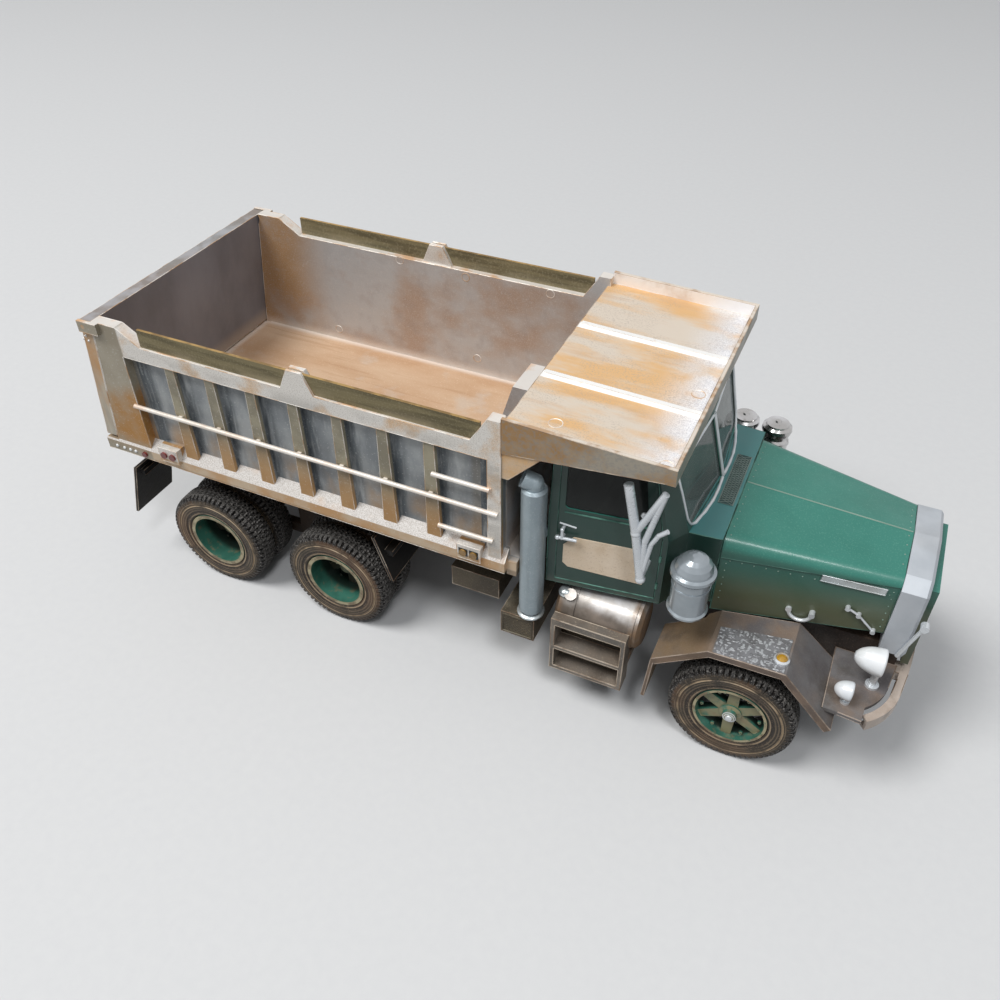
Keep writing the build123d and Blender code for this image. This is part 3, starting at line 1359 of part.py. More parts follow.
# ================================================================ side equipment
def tanks_and_steps():
    profile = [(0, 0), (0, tank_radius - 1.6), (1.2, tank_radius), (tank_front_x - tank_rear_x - 1.2,
               tank_radius), (tank_front_x - tank_rear_x, tank_radius - 1.6),
               (tank_front_x - tank_rear_x, 0)]
    tank = turned(profile, (tank_rear_x, tank_y, tank_z), (1, 0, 0))
    for x in (tank_rear_x + 5.0, tank_front_x - 4.2):
        tank += tube((x, tank_y, tank_z), (x + 1.8, tank_y, tank_z), tank_radius + 0.4, tank_radius - 1)
    lean = radians(cap_lean)
    foot, neck, top = [(cap_x, tank_y + r * sin(lean), tank_z + r * cos(lean))
                       for r in (tank_radius - 2.0, tank_radius + 0.6, tank_radius + 1.8)]
    tank += rod(foot, top, cap_radius * 0.7)
    tank += rod(neck, top, cap_radius)
    for x in hanger_x:
        tank += box(x, x + hanger_width, rail_outer, tank_y, rail_bottom + 1.0,
                    rail_bottom + 1.0 + hanger_depth)
    save("fuel_tanks", both(tank))
    x0, x1 = step_rear_x, step_front_x
    frame_box = box(x0, x1, step_inner, step_outer, step_low, step_high)
    low = step_low + step_sheet
    for z0, z1 in ((low, step_tread), (step_tread + step_sheet, step_high - step_top)):
        frame_box -= box(x0 + step_sheet, x1 - step_sheet, step_inner - 1, step_outer + 1, z0, z1)
    frame_box -= rod((x0 - 1, tank_y, tank_z), (x1 + 1, tank_y, tank_z), tank_radius + 0.55)
    arms = []
    for x in (x0, x1 - step_sheet):
        arms.append(box(x, x + step_sheet, rail_outer, step_inner + 1.0, step_arm_low, step_arm_high))
        arms.append(box(x, x + step_sheet, rail_outer, rail_outer + 2.0, step_arm_low, rail_bottom + 4))
    save("steps", both(fuse(frame_box, *arms)))


def exhaust():
    y = -stack_y
    profile = [(0, 0), (0, stack_radius - 0.8), (0.8, stack_radius),
               (stack_high - stack_low - 0.8, stack_radius), (stack_high - stack_low, stack_radius - 0.8),
               (stack_high - stack_low, 0)]
    stack = turned(profile, (stack_x, y, stack_low), (0, 0, 1))
    stack += rod((stack_x, y, battery_high), (stack_x, y, stack_low + 1), stack_pipe_radius)
    bend = Vector(stack_x, y, stack_high + 1.4)
    reach = Vector(*stack_tip)
    pipe = rod((stack_x, y, stack_high - 1), bend, stack_tip_radius)
    pipe += Pos(*bend) * Sphere(stack_tip_radius)
    pipe += rod(bend, bend + reach, stack_tip_radius)
    pipe -= rod(bend + reach * 0.2, bend + reach * 1.5, stack_tip_radius - stack_tip_wall)
    clamp = box(stack_x, cab_rear_x, y + 1.0, y + 4.4, 72.0, 74.4)
    save("exhaust_stack", fuse(stack, pipe, clamp) - tub(0, cab_bottom, cab_waist))
    battery = box(battery_rear_x, battery_front_x, -battery_outer, -rail_outer, battery_low, battery_high)
    reservoir = box(reservoir_rear_x, reservoir_front_x, rail_outer, reservoir_outer, reservoir_low,
                    reservoir_high)
    save("side_boxes", battery, both(reservoir))


def air_cleaners():
    tub_solid = tub(0, cab_bottom, cab_waist)
    h = cleaner_high - cleaner_low
    r = cleaner_radius
    profile = [(0, 0), (0, r - 0.5), (0.4, r + 0.4), (1.3, r + 0.6), (1.9, r), (h - 11.6, r),
               (h - 11.6, r + 0.2), (h - 10.8, r + 0.2), (h - 10.8, r), (h - 7.6, r), (h - 7.4, r + 0.6),
               (h - 6.5, r + 1.15), (h - 5.5, r + 1.05), (h - 5.0, r + 0.1), (h - 4.2, r),
               (h - 2.6, r - 0.6), (h - 1.2, r - 1.8), (h - 0.4, r - 3.2), (h, r - 4.6), (h, 0)]
    right = turned(profile, (cleaner_x, -cleaner_y, cleaner_low), (0, 0, 1))
    arm = rod((cleaner_x, -cleaner_y, cleaner_low + 5), (cleaner_x, -25.0, cleaner_low + 5), 2.2)
    save("air_cleaner_right", (right + arm) - tub_solid)
    made = []
    h = far_cleaner_high - far_cleaner_low
    r = far_cleaner_radius
    for x in far_cleaner_x:
        profile = [(0, 0), (0, r - 0.5), (0.5, r), (h - 9.4, r), (h - 8.6, r + 0.3), (h - 7.6, r),
                   (h - 6.6, r - 0.7), (h - 5.4, r - 0.7), (h - 4.8, r + 0.1), (h - 3.4, r + 0.5),
                   (h - 2.2, r + 0.3), (h - 1.5, r - 0.6), (h - 0.9, r - 0.8), (h - 0.5, 1.2), (h, 0.9),
                   (h, 0)]
        can = turned(profile, (x, far_cleaner_y, far_cleaner_low), (0, 0, 1))
        can += rod((x, far_cleaner_y, far_cleaner_low + 5), (x, 25.0, far_cleaner_low + 5), 1.8)
        made.append(can)
    wall = fuse(tub_solid, hood_body(0, 0))
    save("air_cleaners_left", [can - wall for can in made])


def mirrors():
    """Mirror arms on the doors: a foot, a raking bar to a boss and two arms up from it."""
    y = mirror_y
    body = fuse(tub(0, cab_bottom, cab_waist), greenhouse(0))
    made = rod((mirror_foot[0], y - 9.0, mirror_foot[1]), (mirror_foot[0], y, mirror_foot[1]), 0.8)
    for a, b, radius in mirror_bars:
        made += rod((a[0], y, a[1]), (b[0], y, b[1]), radius)
    for x, z in (mirror_boss, mirror_foot):
        made += Pos(x, y, z) * Sphere(mirror_ball)
    made -= body
    hook = fuse(*[rod((a[0], -y, a[1]), (b[0], -y, b[1]), mirror_hook_radius)
                  for a, b in zip(mirror_hook[:-1], mirror_hook[1:])])
    save("mirror_arms", made, fuse(mirrored(made), hook))


def cab_side(x):
    """Half width of the cab's side at x, below the waist."""
    (x0, half0, *_), (x1, half1, *_) = cab_plan[:2]
    return half0 + (x - x0) / (x1 - x0) * (half1 - half0)


def hood_side(x):
    """Half width of the bonnet's side panel at x."""
    return fender_inner_line(x) - rest_gap - hood_panel_inset


def handles():
    """Door handles, the half rings and latches on the bonnet, and the radiator's stays."""
    knob_x, foot_x, tip_x = handle_x
    knob, tip = [(x, cab_side(x) + handle_reach, handle_z) for x in (knob_x, tip_x)]
    y = cab_side(foot_x) + handle_reach
    door = rod(knob, tip, handle_radius) + Pos(*knob) * Sphere(handle_radius * 1.5)
    door += rod((foot_x, y, handle_z), (foot_x, y, handle_z + handle_stub), handle_radius)
    for z in (handle_z, handle_z + handle_stub):
        door += Pos(foot_x, y, z) * Sphere(handle_radius * 1.2)
        door += rod((foot_x, y, z), (foot_x, y - handle_reach - 1, z), handle_radius)
    door -= tub(0, cab_bottom, cab_waist)
    bonnet = hood_body(hood_panel_inset, 0)
    y = hood_side(ring_x) + ring_reach
    ring = Pos(ring_x, y, ring_z) * Rot(90, 0, 0) * Torus(ring_radius, ring_bar)
    ring -= box(ring_x - 9, ring_x + 9, y - 3, y + 3, ring_z, ring_z + 9)
    for x in (ring_x - ring_radius, ring_x + ring_radius):
        ring += rod((x, hood_side(x) - 1, ring_z), (x, y + ring_bar, ring_z), ring_bar * 1.5)
    ring -= bonnet
    spots = [(x, hood_side(x) + latch_knob, z) for x, z in (*latch_head, latch_tail)]
    latch = fuse(*[rod(p, q, latch_bar) for p, q in zip(spots[:-1], spots[1:])])
    for x, y, z in spots:
        latch += rod((x, y - 2, z), (x, y + latch_knob, z), latch_knob)
    latch -= bonnet
    y = shell_half + stay_radius
    stay = rod((stay_foot[0], y, stay_foot[1]), (stay_head[0], y, stay_head[1]), stay_radius)
    stay += rod((stay_head[0], y - stay_radius * 2, stay_head[1]),
                (stay_head[0], y + stay_radius * 2, stay_head[1]), stay_knob)
    save("handles", both(door), both(ring), both(latch), both(stay))


def hung_flap(top, low):
    """Rubber flap across one pair of tyres: top and low are x, z of its rear face."""
    return prism([top, low, (low[0] + flap_sheet, low[1]), (top[0] + flap_sheet, top[1])],
                 flap_inner, flap_outer, "y")


def mud_flaps():
    """Flaps behind the last axle and ahead of the bogie, each on a bar from the rail."""
    made = []
    for top, low, hanger_z in (flap_rear, flap_front):
        flap = hung_flap(top, low)
        slope = (low[0] - top[0]) / (low[1] - top[1])
        x = top[0] + flap_sheet + slope * (hanger_z - top[1])
        hanger = box(x - 0.8, x + flap_hanger, rail_outer, flap_inner + 18.0, hanger_z,
                     hanger_z + flap_hanger)
        made += [both(flap), both(hanger - flap)]
    save("mud_flaps", made)


# ================================================================ build
frame()
save("leaf_springs", front_springs(front_axle()), bogie_springs())
arm_level = knuckle(1)
knuckle(-1)
tie_rod(arm_level)
rear_axles()
drive_shafts()
engine()
front_wheel(1)
front_wheel(-1)
for axle_x, axle in ((mid_axle_x, "mid"), (rear_axle_x, "rear")):
    for direction, hand in ((1, "left"), (-1, "right")):
        rear_wheel(axle_x, direction, f"{axle}_{hand}")
bed_floor()
bed_sills()
bed_sides()
bed_bars()
bed_front_wall()
canopy()
side_boards()
tailgate()
bed_lamps()
hoist()
cab()
cab_inside()
hood()
radiator()
fenders()
bumper()
lamps()
tanks_and_steps()
exhaust()
air_cleaners()
mirrors()
handles()
mud_flaps()
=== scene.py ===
import math

import bmesh
import bpy
from mathutils import Matrix, Vector
from mathutils.bvhtree import BVHTree


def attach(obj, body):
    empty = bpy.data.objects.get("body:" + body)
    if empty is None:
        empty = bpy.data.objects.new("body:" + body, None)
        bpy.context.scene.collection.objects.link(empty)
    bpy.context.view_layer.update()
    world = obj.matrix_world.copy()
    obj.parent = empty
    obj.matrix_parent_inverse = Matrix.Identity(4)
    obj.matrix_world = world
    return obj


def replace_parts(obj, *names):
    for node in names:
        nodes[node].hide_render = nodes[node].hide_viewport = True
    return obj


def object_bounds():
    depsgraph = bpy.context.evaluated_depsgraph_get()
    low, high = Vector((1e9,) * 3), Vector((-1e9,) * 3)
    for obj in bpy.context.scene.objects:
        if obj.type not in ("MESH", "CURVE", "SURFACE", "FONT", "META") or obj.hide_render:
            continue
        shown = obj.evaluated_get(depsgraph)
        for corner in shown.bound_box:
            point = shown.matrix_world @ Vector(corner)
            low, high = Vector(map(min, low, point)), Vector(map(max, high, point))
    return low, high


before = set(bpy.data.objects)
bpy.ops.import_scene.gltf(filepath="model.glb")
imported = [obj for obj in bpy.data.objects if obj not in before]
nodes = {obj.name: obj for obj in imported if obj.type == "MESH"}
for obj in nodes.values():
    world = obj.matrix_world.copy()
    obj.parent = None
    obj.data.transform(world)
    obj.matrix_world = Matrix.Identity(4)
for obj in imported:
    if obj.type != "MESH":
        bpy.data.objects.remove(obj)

cad_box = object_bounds()
MM = 0.001
SIDES = ((1, "left"), (-1, "right"))
AXLES = {"front": 95.7, "mid": -52.1, "rear": -105.6}
TYRE_R = 20.8
TYRE_W = 10.4


# ---------------- materials
def srgb(r, g, b):
    """A colour as a picture shows it, 0 to 255, as Blender's linear colour."""
    def line(v):
        v /= 255
        return v / 12.92 if v <= 0.04045 else ((v + 0.055) / 1.055) ** 2.4
    return (line(r), line(g), line(b), 1.0)


looks = {}


class Look:
    """A procedural material in the making, with patterns in the object's own coordinates.

    A mask is a socket or a number, or (scale, detail, low, high, stretch) for patches, or ("z", low, high) for a rise
    in mm along x, y, z, side (distance from the middle plane) or reach (from the nearest axle), or along the normal's
    nx, ny or nz. A third number makes it a band with soft ends.
    """

    def __init__(self, name):
        self.name = name
        self.material = bpy.data.materials.new(name)
        self.material.use_nodes = True
        self.tree = self.material.node_tree
        self.shader = self.tree.nodes["Principled BSDF"]
        place = self.node("ShaderNodeTexCoord")
        self.place = place.outputs["Object"]
        self.x, self.y, self.z = self.split(self.place)
        self.side = self.maths("ABSOLUTE", self.y)
        self.nx, self.ny, self.nz = self.split(place.outputs["Normal"])

    def node(self, kind, inputs=None):
        """A new node with the given values or sockets at its inputs."""
        node = self.tree.nodes.new(kind)
        for key, value in (inputs or {}).items():
            self.set(node.inputs[key], value)
        return node

    def set(self, socket, value):
        if isinstance(value, bpy.types.NodeSocket):
            self.tree.links.new(value, socket)
        else:
            socket.default_value = value

    def fill(self, inputs):
        """Sets inputs of the shader itself."""
        for key, value in inputs.items():
            self.set(self.shader.inputs[key], value)

    def split(self, vector):
        return self.node("ShaderNodeSeparateXYZ", {0: vector}).outputs

    def maths(self, operation, a, b=0.0):
        node = self.node("ShaderNodeMath", {0: a, 1: b})
        node.operation = operation
        return node.outputs[0]

    def mask(self, given):
        if not isinstance(given, tuple):
            return given
        if not isinstance(given[0], str):
            return self.spots(*given)
        name, *limits = given
        if not name.startswith("n"):
            limits = [limit * MM for limit in limits]
        rise = self.between if len(limits) == 3 else self.span
        return rise(getattr(self, name), *limits)

    def times(self, *masks):
        total, *rest = [self.mask(m) for m in masks]
        for value in rest:
            total = self.maths("MULTIPLY", total, value)
        return total

    def most(self, a, b):
        return self.maths("MAXIMUM", self.mask(a), self.mask(b))

    def span(self, value, low, high):
        """0 at low, 1 at high, smooth between; low may be the larger."""
        node = self.node("ShaderNodeMapRange", {0: value, 1: low, 2: high})
        node.interpolation_type = "SMOOTHSTEP"
        return node.outputs[0]

    def between(self, value, low, high, soft):
        """1 from low to high, fading to 0 over soft at both ends."""
        return self.times(self.span(value, low - soft, low), self.span(value, high + soft, high))

    def texture(self, kind, scale, stretch, **inputs):
        """A texture node, its pattern closer together along the axes where stretch is above 1."""
        place = self.place
        if stretch:
            place = self.node("ShaderNodeMapping", {"Vector": place, "Scale": stretch}).outputs[0]
        return self.node(kind, {"Vector": place, "Scale": scale, **inputs})

    def noise(self, scale, detail, stretch=None):
        return self.texture("ShaderNodeTexNoise", scale, stretch, Detail=detail, Roughness=0.55).outputs["Fac"]

    def spots(self, scale, detail, low, high, stretch=None):
        """Patches where a noise rises from low to high."""
        return self.span(self.noise(scale, detail, stretch), low, high)

    def cells(self, scale, stretch):
        return self.texture("ShaderNodeTexVoronoi", scale, stretch).outputs["Distance"]

    def mixed(self, kind, factor, a, b):
        node = self.node("ShaderNodeMix")
        node.data_type = kind
        for socket, value in (("Factor", self.mask(factor)), ("A", a), ("B", b)):
            self.set(node.inputs[socket], value)
        return node.outputs["Result"]

    def mix(self, factor, a, b):
        """From colour a to colour b; each is a socket or red, green and blue from 0 to 255."""
        return self.mixed("RGBA", factor, *(srgb(*v) if isinstance(v, tuple) else v for v in (a, b)))

    def blend(self, factor, a, b):
        """From value a to value b."""
        return self.mixed("FLOAT", factor, self.mask(a), self.mask(b))

    def mottled(self, a, b, *patches):
        """Colour a with patches of colour b."""
        return self.mix(patches, a, b)

    def layers(self, colour, *coats):
        """Coats laid over a colour in turn, each where all its masks let it: (colour, mask, mask, ...)."""
        for top, *masks in coats:
            colour = self.mix(self.times(*masks), colour, top)
        return colour

    def done(self, colour, rough, bump, height=0.00008, metal=0.0, specular=0.5, coat=0.0):
        """Joins everything to the shader; height is the bump's depth in metres."""
        bumps = self.node("ShaderNodeBump", {"Strength": 0.7, "Distance": height, "Height": bump})
        self.fill({"Base Color": colour, "Roughness": rough, "Metallic": metal, "Specular IOR Level": specular,
                   "Coat Weight": coat, "Coat Roughness": 0.14, "Normal": bumps.outputs[0]})
        looks[self.name] = self.material
        return self.material

    def grained(self, colour, scale, low, high, *rest):
        """done() with a fine noise as bump, the roughness going from low to high with it."""
        grain = self.noise(scale, 3)
        return self.done(colour, self.blend(grain, low, high), grain, *rest)


def weathered(name, base, shade, dust, rough=(0.42, 0.78), metal=0.0, top=0.5, low=None, patch=None, specks=None,
              height=0.00006, specular=0.5, streaks=0.0):
    """Paint or plastic with uneven tone, dust on top and near the ground, stains and fine specks.

    patch is (colour, amount, scale), specks (colour, amount) and low the heights of full and of no ground dirt.
    """
    look = Look(name)
    colour = look.mottled(base, shade, 55, 6, 0.3, 0.7)
    if streaks:
        colour = look.layers(colour, (dust, (260, 3, 0.52, 0.72, (1, 1, 0.07)), streaks))
    if patch:
        stain, amount, scale = patch
        colour = look.layers(colour, (stain, (scale, 8, 0.47, 0.68), amount))
    settled = look.times(("nz", 0.2, 0.9), top)
    if low:
        settled = look.most(settled, look.times(("z", low[1], low[0]), 0.4))
    settled = look.times(settled, (120, 7, 0.28, 0.62))
    colour = look.layers(colour, (dust, settled))
    if specks:
        colour = look.layers(colour, (specks[0], (1900, 2, 0.58, 0.68), specks[1]))
    grain = look.spots(900, 3, 0.25, 0.75)
    roughness = look.blend(settled, look.blend(grain, rough[0], rough[0] + 0.08), rough[1])
    look.done(colour, roughness, grain, height, metal, specular)


# the first rib's place and the ribs' spacing, in metres
RIB_FIRST = -0.1047
RIB_PITCH = 0.0162


def bay_tone(look):
    """Between the ribs: grey, with painted shade beside each rib and before the next, tan low down."""
    step = look.maths("DIVIDE", look.maths("SUBTRACT", look.x, RIB_FIRST), RIB_PITCH)
    bay = look.maths("FRACT", look.maths("ADD", step, 20.0))  # 20 keeps it above 0 along the whole body
    brushed = look.noise(330, 5, (1, 1, 0.14))
    return look.layers(
        look.mottled((162, 166, 168), (124, 129, 133), 95, 6, 0.35, 0.66, (1, 1, 0.5)),
        # painted shade: dark beside each rib's forward face, then darker again just short of the next rib
        ((66, 74, 80), look.span(bay, 0.50, 0.24), look.span(brushed, 0.34, 0.56), 0.85),
        ((120, 112, 98), look.span(bay, 0.76, 0.88), 0.45),
        ((182, 186, 188), look.span(brushed, 0.6, 0.7), 0.35),
        ((170, 138, 100), ("z", 83, 68), look.span(bay, 0.28, 0.62), (70, 7, 0.34, 0.6), 0.7))


def rib_tone(look):
    return look.layers(
        look.mottled((158, 151, 130), (132, 126, 110), 80, 6, 0.35, 0.65),
        ((182, 138, 86), ("z", 84, 66), 0.8))


def rail_tone(look):
    """The top rail and the posts: pale, speckled, and greyer towards the rail's lower edge as painted shade."""
    return look.layers(
        look.mottled((226, 222, 216), (214, 182, 146), 60, 7, 0.5, 0.66),
        ((168, 160, 150), (2400, 2, 0.5, 0.62), 0.4),
        ((240, 238, 234), (3000, 2, 0.56, 0.64), 0.5),
        # painted shade: grey patches thickening towards the rail's lower edge
        ((152, 149, 142), (150, 7, 0.44, 0.6, (0.5, 1, 1)), ("z", 106.5, 101.5), 0.4))


def bottom_tone(look):
    return look.layers(
        look.mottled((202, 182, 156), (192, 152, 108), 58, 7, 0.4, 0.62),
        ((98, 80, 64), ("z", 58.3, 57.2), 0.6))


def corner_tone(look):
    """The smooth rear corner with its stain."""
    return look.layers(
        look.mottled((166, 158, 142), (148, 139, 122), 44, 7, 0.36, 0.64),
        ((170, 124, 66), ("z", 66, 83, 8), (40, 7, 0.3, 0.56)))


def inner_tone(look):
    """The walls' inner faces, rusty towards the gate and pale along the floor."""
    return look.layers(
        look.mottled((188, 188, 189), (176, 156, 142), 34, 8, 0.44, 0.7, (1, 1, 1.5)),
        ((178, 140, 98), ("x", -98, -124), (40, 7, 0.28, 0.52), 0.95),
        ((166, 154, 148), (160, 7, 0.5, 0.7), 0.35),
        ((212, 208, 206), (2600, 2, 0.54, 0.64), 0.35),
        ((232, 222, 212), ("z", 67, 63), 0.5))


def foot_tone(look):
    """The ribs' sloped feet."""
    return look.layers(
        look.mottled((198, 195, 192), (166, 160, 154), 3400, 2, 0.44, 0.62),
        ((190, 160, 132), (90, 6, 0.5, 0.66), 0.4))


def bed_metal():
    """Silver body: grey bays, tan ribs and rails, rust low down, pale dust on ledges and feet."""
    look = Look("aged_aluminium")
    bottom = look.times(("z", 61.6, 61.1), ("side", 44.9, 45.2))
    grain = look.noise(1400, 3)
    colour = look.layers(
        bay_tone(look),
        (rib_tone(look), ("side", 46.6, 47.2)),
        (rail_tone(look), look.most(("z", 100.4, 100.8), ("side", 48.1, 48.4))),
        (bottom_tone(look), bottom),
        (corner_tone(look), ("x", -122.2, -123.2), ("side", 44.9, 45.2)),
        (inner_tone(look), ("side", 44.9, 44.6)),
        (look.mottled((226, 221, 215), (222, 178, 136), 70, 6, 0.5, 0.64), ("nz", 0.75, 0.95),
         look.most(("z", 95, 96.5), bottom), 0.9),  # ledges
        (foot_tone(look), ("nz", 0.3, 0.93, 0.05), ("side", 45.5, 45.8), ("z", 72, 69)),
        ((214, 214, 212), look.span(grain, 0.6, 0.7), 0.3))
    look.done(colour, look.blend((160, 5, 0.3, 0.7), 0.38, 0.6), grain, 0.00005, 0.3)


def canopy_metal():
    """Brushed silver with tan sweeps, ridges painted white as a painted highlight, brown sides and pale inner faces.
    """
    look = Look("canopy_metal")
    brushed = look.noise(48, 8, (0.5, 1.7, 1))
    upright = look.span(look.nz, 0.5, 0.2)
    outer = look.layers(
        look.mottled((164, 156, 142), (160, 124, 80), 56, 7, 0.4, 0.62),
        ((140, 138, 134), (1200, 4, 0.46, 0.62), 0.5))
    colour = look.layers(
        look.mix(look.span(brushed, 0.41, 0.59), (219, 206, 190), (224, 182, 130)),
        ((206, 166, 124), (200, 5, 0.5, 0.66, (0.2, 1, 1)), 0.4),
        (look.mottled((240, 240, 242), (212, 212, 216), 2600, 2, 0.42, 0.6), ("x", 47, 65.5), (80, 7, 0.25, 0.55)),
        ((176, 162, 148), (2100, 2, 0.52, 0.62), (60, 6, 0.42, 0.58), 0.45),
        ((243, 242, 240), ("side", 14.25, 17.75, 0.2), (300, 4, 0.1, 0.4)),  # ridges, painted white: a painted highlight
        (outer, upright, ("side", 48.1, 48.5)),
        (look.mottled((246, 245, 246), (224, 214, 206), 110, 6, 0.5, 0.72), upright, ("side", 47.9, 47.6)),
        ((150, 146, 136), ("x", 66.4, 66.8), ("nx", 0.4, 0.8)),  # front lip
        (look.mottled((222, 212, 200), (190, 158, 126), 130, 6, 0.42, 0.6), ("nz", 0.8, 0.97),
         look.most(("side", 47.2, 47.5), ("x", 66.1, 66.4))))  # rim
    look.done(colour, look.blend(look.span(brushed, 0.4, 0.7), 0.36, 0.6), look.noise(1500, 3), 0.00005, 0.22)


def rusty_floor():
    """Peach rust brushed along the floor, silver where the load wears it."""
    look = Look("bed_rust")
    broad = look.noise(26, 8, (0.5, 1.3, 1))
    colour = look.layers(
        look.mix(look.span(broad, 0.36, 0.62), (212, 183, 154), (192, 154, 120)),
        ((202, 188, 174), (70, 7, 0.52, 0.7), 0.55),
        ((228, 220, 212), look.most(("side", 41.2, 44.6), ("x", -134.5, -139.5)), 0.75),  # edge
        ((176, 134, 98), (420, 4, 0.56, 0.68, (0.06, 1, 1)), 0.35))  # streak
    grain = look.noise(1500, 3)
    colour = look.layers(colour, ((236, 216, 190), look.span(grain, 0.58, 0.68), 0.3))
    look.done(colour, look.blend(grain, 0.5, 0.72), grain, 0.00006, 0.12)


def gate_metal():
    """The tailgate: dull inside, tan and stained outside."""
    look = Look("gate_metal")
    outer = look.layers(
        look.mottled((188, 180, 164), (190, 148, 104), 48, 7, 0.38, 0.62),
        ((150, 148, 142), (300, 4, 0.5, 0.66, (1, 1, 0.12)), 0.4))
    inner = look.layers(
        look.mottled((140, 142, 152), (118, 119, 127), 34, 7, 0.35, 0.65, (1, 1, 0.5)),
        ((196, 180, 164), ("z", 71, 64), 0.6))
    colour = look.layers(
        outer,
        (inner, ("nx", 0.2, 0.7)),
        (look.mottled((158, 161, 168), (124, 122, 122), 90, 5, 0.4, 0.6), ("nz", 0.5, 0.85), 0.85),  # top
        ((186, 138, 88), ("z", 80, 64), (50, 7, 0.3, 0.6), ("nx", 0.2, -0.2), 0.8))  # low down outside
    look.grained(colour, 1400, 0.42, 0.62, 0.00005, 0.25)


def axle_reach(look):
    """Distance from the nearest axle, seen from the side; masks name it reach."""
    height = look.maths("SUBTRACT", look.z, TYRE_R * MM)
    reach = []
    for x in AXLES.values():
        along = look.maths("SUBTRACT", look.x, x * MM)
        squares = look.maths("ADD", look.times(along, along), look.times(height, height))
        reach.append(look.maths("SQRT", squares))
    look.reach = look.maths("MINIMUM", look.maths("MINIMUM", reach[0], reach[1]), reach[2])


def tyre_rubber():
    """Grey tread, its grey partly a painted sheen, over grooves painted black as painted shade, and brown side walls
    with worn rings and painted shade in their sunken ring.
    """
    look = Look("tyre_rubber")
    axle_reach(look)
    # the tread's light grey stands partly for a painted sheen
    tread = look.layers(
        look.mottled((84, 82, 80), (58, 56, 54), 260, 5, 0.35, 0.68),
        # painted shade: the lug gaps below the tread are black
        ((22, 20, 19), ("reach", 20.66, 20.25)),
        ((150, 146, 142), (1800, 2, 0.52, 0.64), 0.5))
    wall = look.mottled((62, 54, 45), (43, 39, 34), 120, 6, 0.35, 0.66)
    wall = look.layers(wall, ((98, 72, 52), (38, 5, 0.5, 0.64), 0.55))
    for radius, half, amount in ((13.1, 0.2, 0.8), (14.8, 0.14, 0.3), (15.8, 0.12, 0.3), (16.9, 0.3, 0.9),
                                 (17.8, 0.12, 0.35)):
        worn = ("reach", radius - half, radius + half, 0.1)
        wall = look.layers(wall, ((176, 156, 130), worn, (150, 5, 0.3, 0.55), amount))
    wall = look.layers(
        wall,
        # painted shade in the side wall's sunken ring
        ((44, 38, 34), ("reach", 13.7, 14.2, 0.3), 0.7),
        ((130, 114, 96), (1700, 2, 0.55, 0.66), 0.45))
    colour = look.layers(
        look.mix(("reach", 19.6, 18.5), tread, wall),
        ((104, 86, 70), ("z", 12, 2), (90, 6, 0.3, 0.6), 0.4))
    look.grained(colour, 1700, 0.42, 0.66, 0.00008, 0.0, 0.35)


def wheel_green():
    """Green wheels: olive dust on the faces, clean green in the barrel's outer part, and painted shade darkening them
    deep inside.
    """
    look = Look("wheel_green")
    axle_reach(look)
    colour = look.layers(
        look.mottled((60, 114, 99), (46, 92, 79), 150, 5, 0.35, 0.65),
        ((150, 142, 108), look.span(look.maths("ABSOLUTE", look.ny), 0.4, 0.9), (210, 6, 0.25, 0.5), 0.85),  # face
        ((134, 112, 84), (330, 6, 0.52, 0.7), 0.5),
        (look.mottled((178, 168, 136), (124, 108, 84), 240, 5, 0.4, 0.6), ("reach", 10.5, 11),
         look.span(look.maths("ABSOLUTE", look.ny), 0.5, 0.9)))  # rim
    # painted shade: dark deep in the rear barrels and behind the front spokes
    deep = look.blend(("x", 60, 62), ("side", 41.2, 38), ("side", 43.2, 42.2))
    colour = look.layers(colour, ((24, 26, 22), deep, 0.88))
    look.grained(colour, 1400, 0.30, 0.5, 0.00005)


def green_paint():
    """Satin green, with painted shade on all upright faces and deeper painted shade on the cab's sides, olive towards
    the bottom of the bonnet's sides, bluer on the cowl.
    """
    look = Look("green_paint")
    colour = look.layers(
        look.mottled((45, 115, 102), (53, 123, 110), 45, 6, 0.35, 0.65),
        ((96, 156, 138), (2000, 2, 0.56, 0.66), 0.3),
        ((76, 134, 138), ("x", 70.5, 80.3, 0.3), ("nz", 0.5, 0.9), 0.75))  # cowl
    # painted shade: upright faces are a darker green
    upright = look.span(look.nz, 0.55, 0.1)
    colour = look.layers(
        colour,
        ((48, 92, 80), upright, 0.75),
        (look.mottled((24, 45, 40), (30, 53, 47), 40, 5, 0.35, 0.65), upright, ("x", 81.2, 80.2), 0.85))  # cab sides: deeper painted shade
    bonnet = look.times(("x", 80.8, 81.2), upright)
    fade = look.times(("z", 70.5, 56.5), (36, 5, 0.2, 0.5))
    colour = look.layers(
        colour,
        ((88, 95, 72), fade, bonnet, 0.95),
        ((92, 84, 56), ("z", 62, 52), bonnet, (60, 6, 0.42, 0.62), 0.35),  # warm
        ((96, 100, 88), ("z", 56.5, 52.5), (90, 6, 0.35, 0.6), 0.4))  # foot
    grain = look.noise(1700, 3)
    look.done(colour, look.blend((200, 5, 0.3, 0.7), 0.34, 0.46), grain, 0.00001, 0.0, 0.4, 0.22)


def dark_glass():
    """Side panes are dark, a painted shade; the windscreen, which faces forward, is paler, a painted reflection."""
    look = Look("clear_glass")
    haze = look.spots(90, 6, 0.35, 0.75)
    # painted light: paler on the forward-facing windscreen as a painted reflection, dark on the side panes as painted
    # shade
    colour = look.mix(("nx", 0.3, 0.7), look.mix(haze, (70, 75, 74), (86, 90, 88)),
                      look.mix(haze, (162, 176, 174), (186, 196, 193)))
    look.fill({"Transmission Weight": 0.72, "IOR": 1.25})
    look.done(colour, look.blend(haze, 0.04, 0.1), haze, 0.000004)


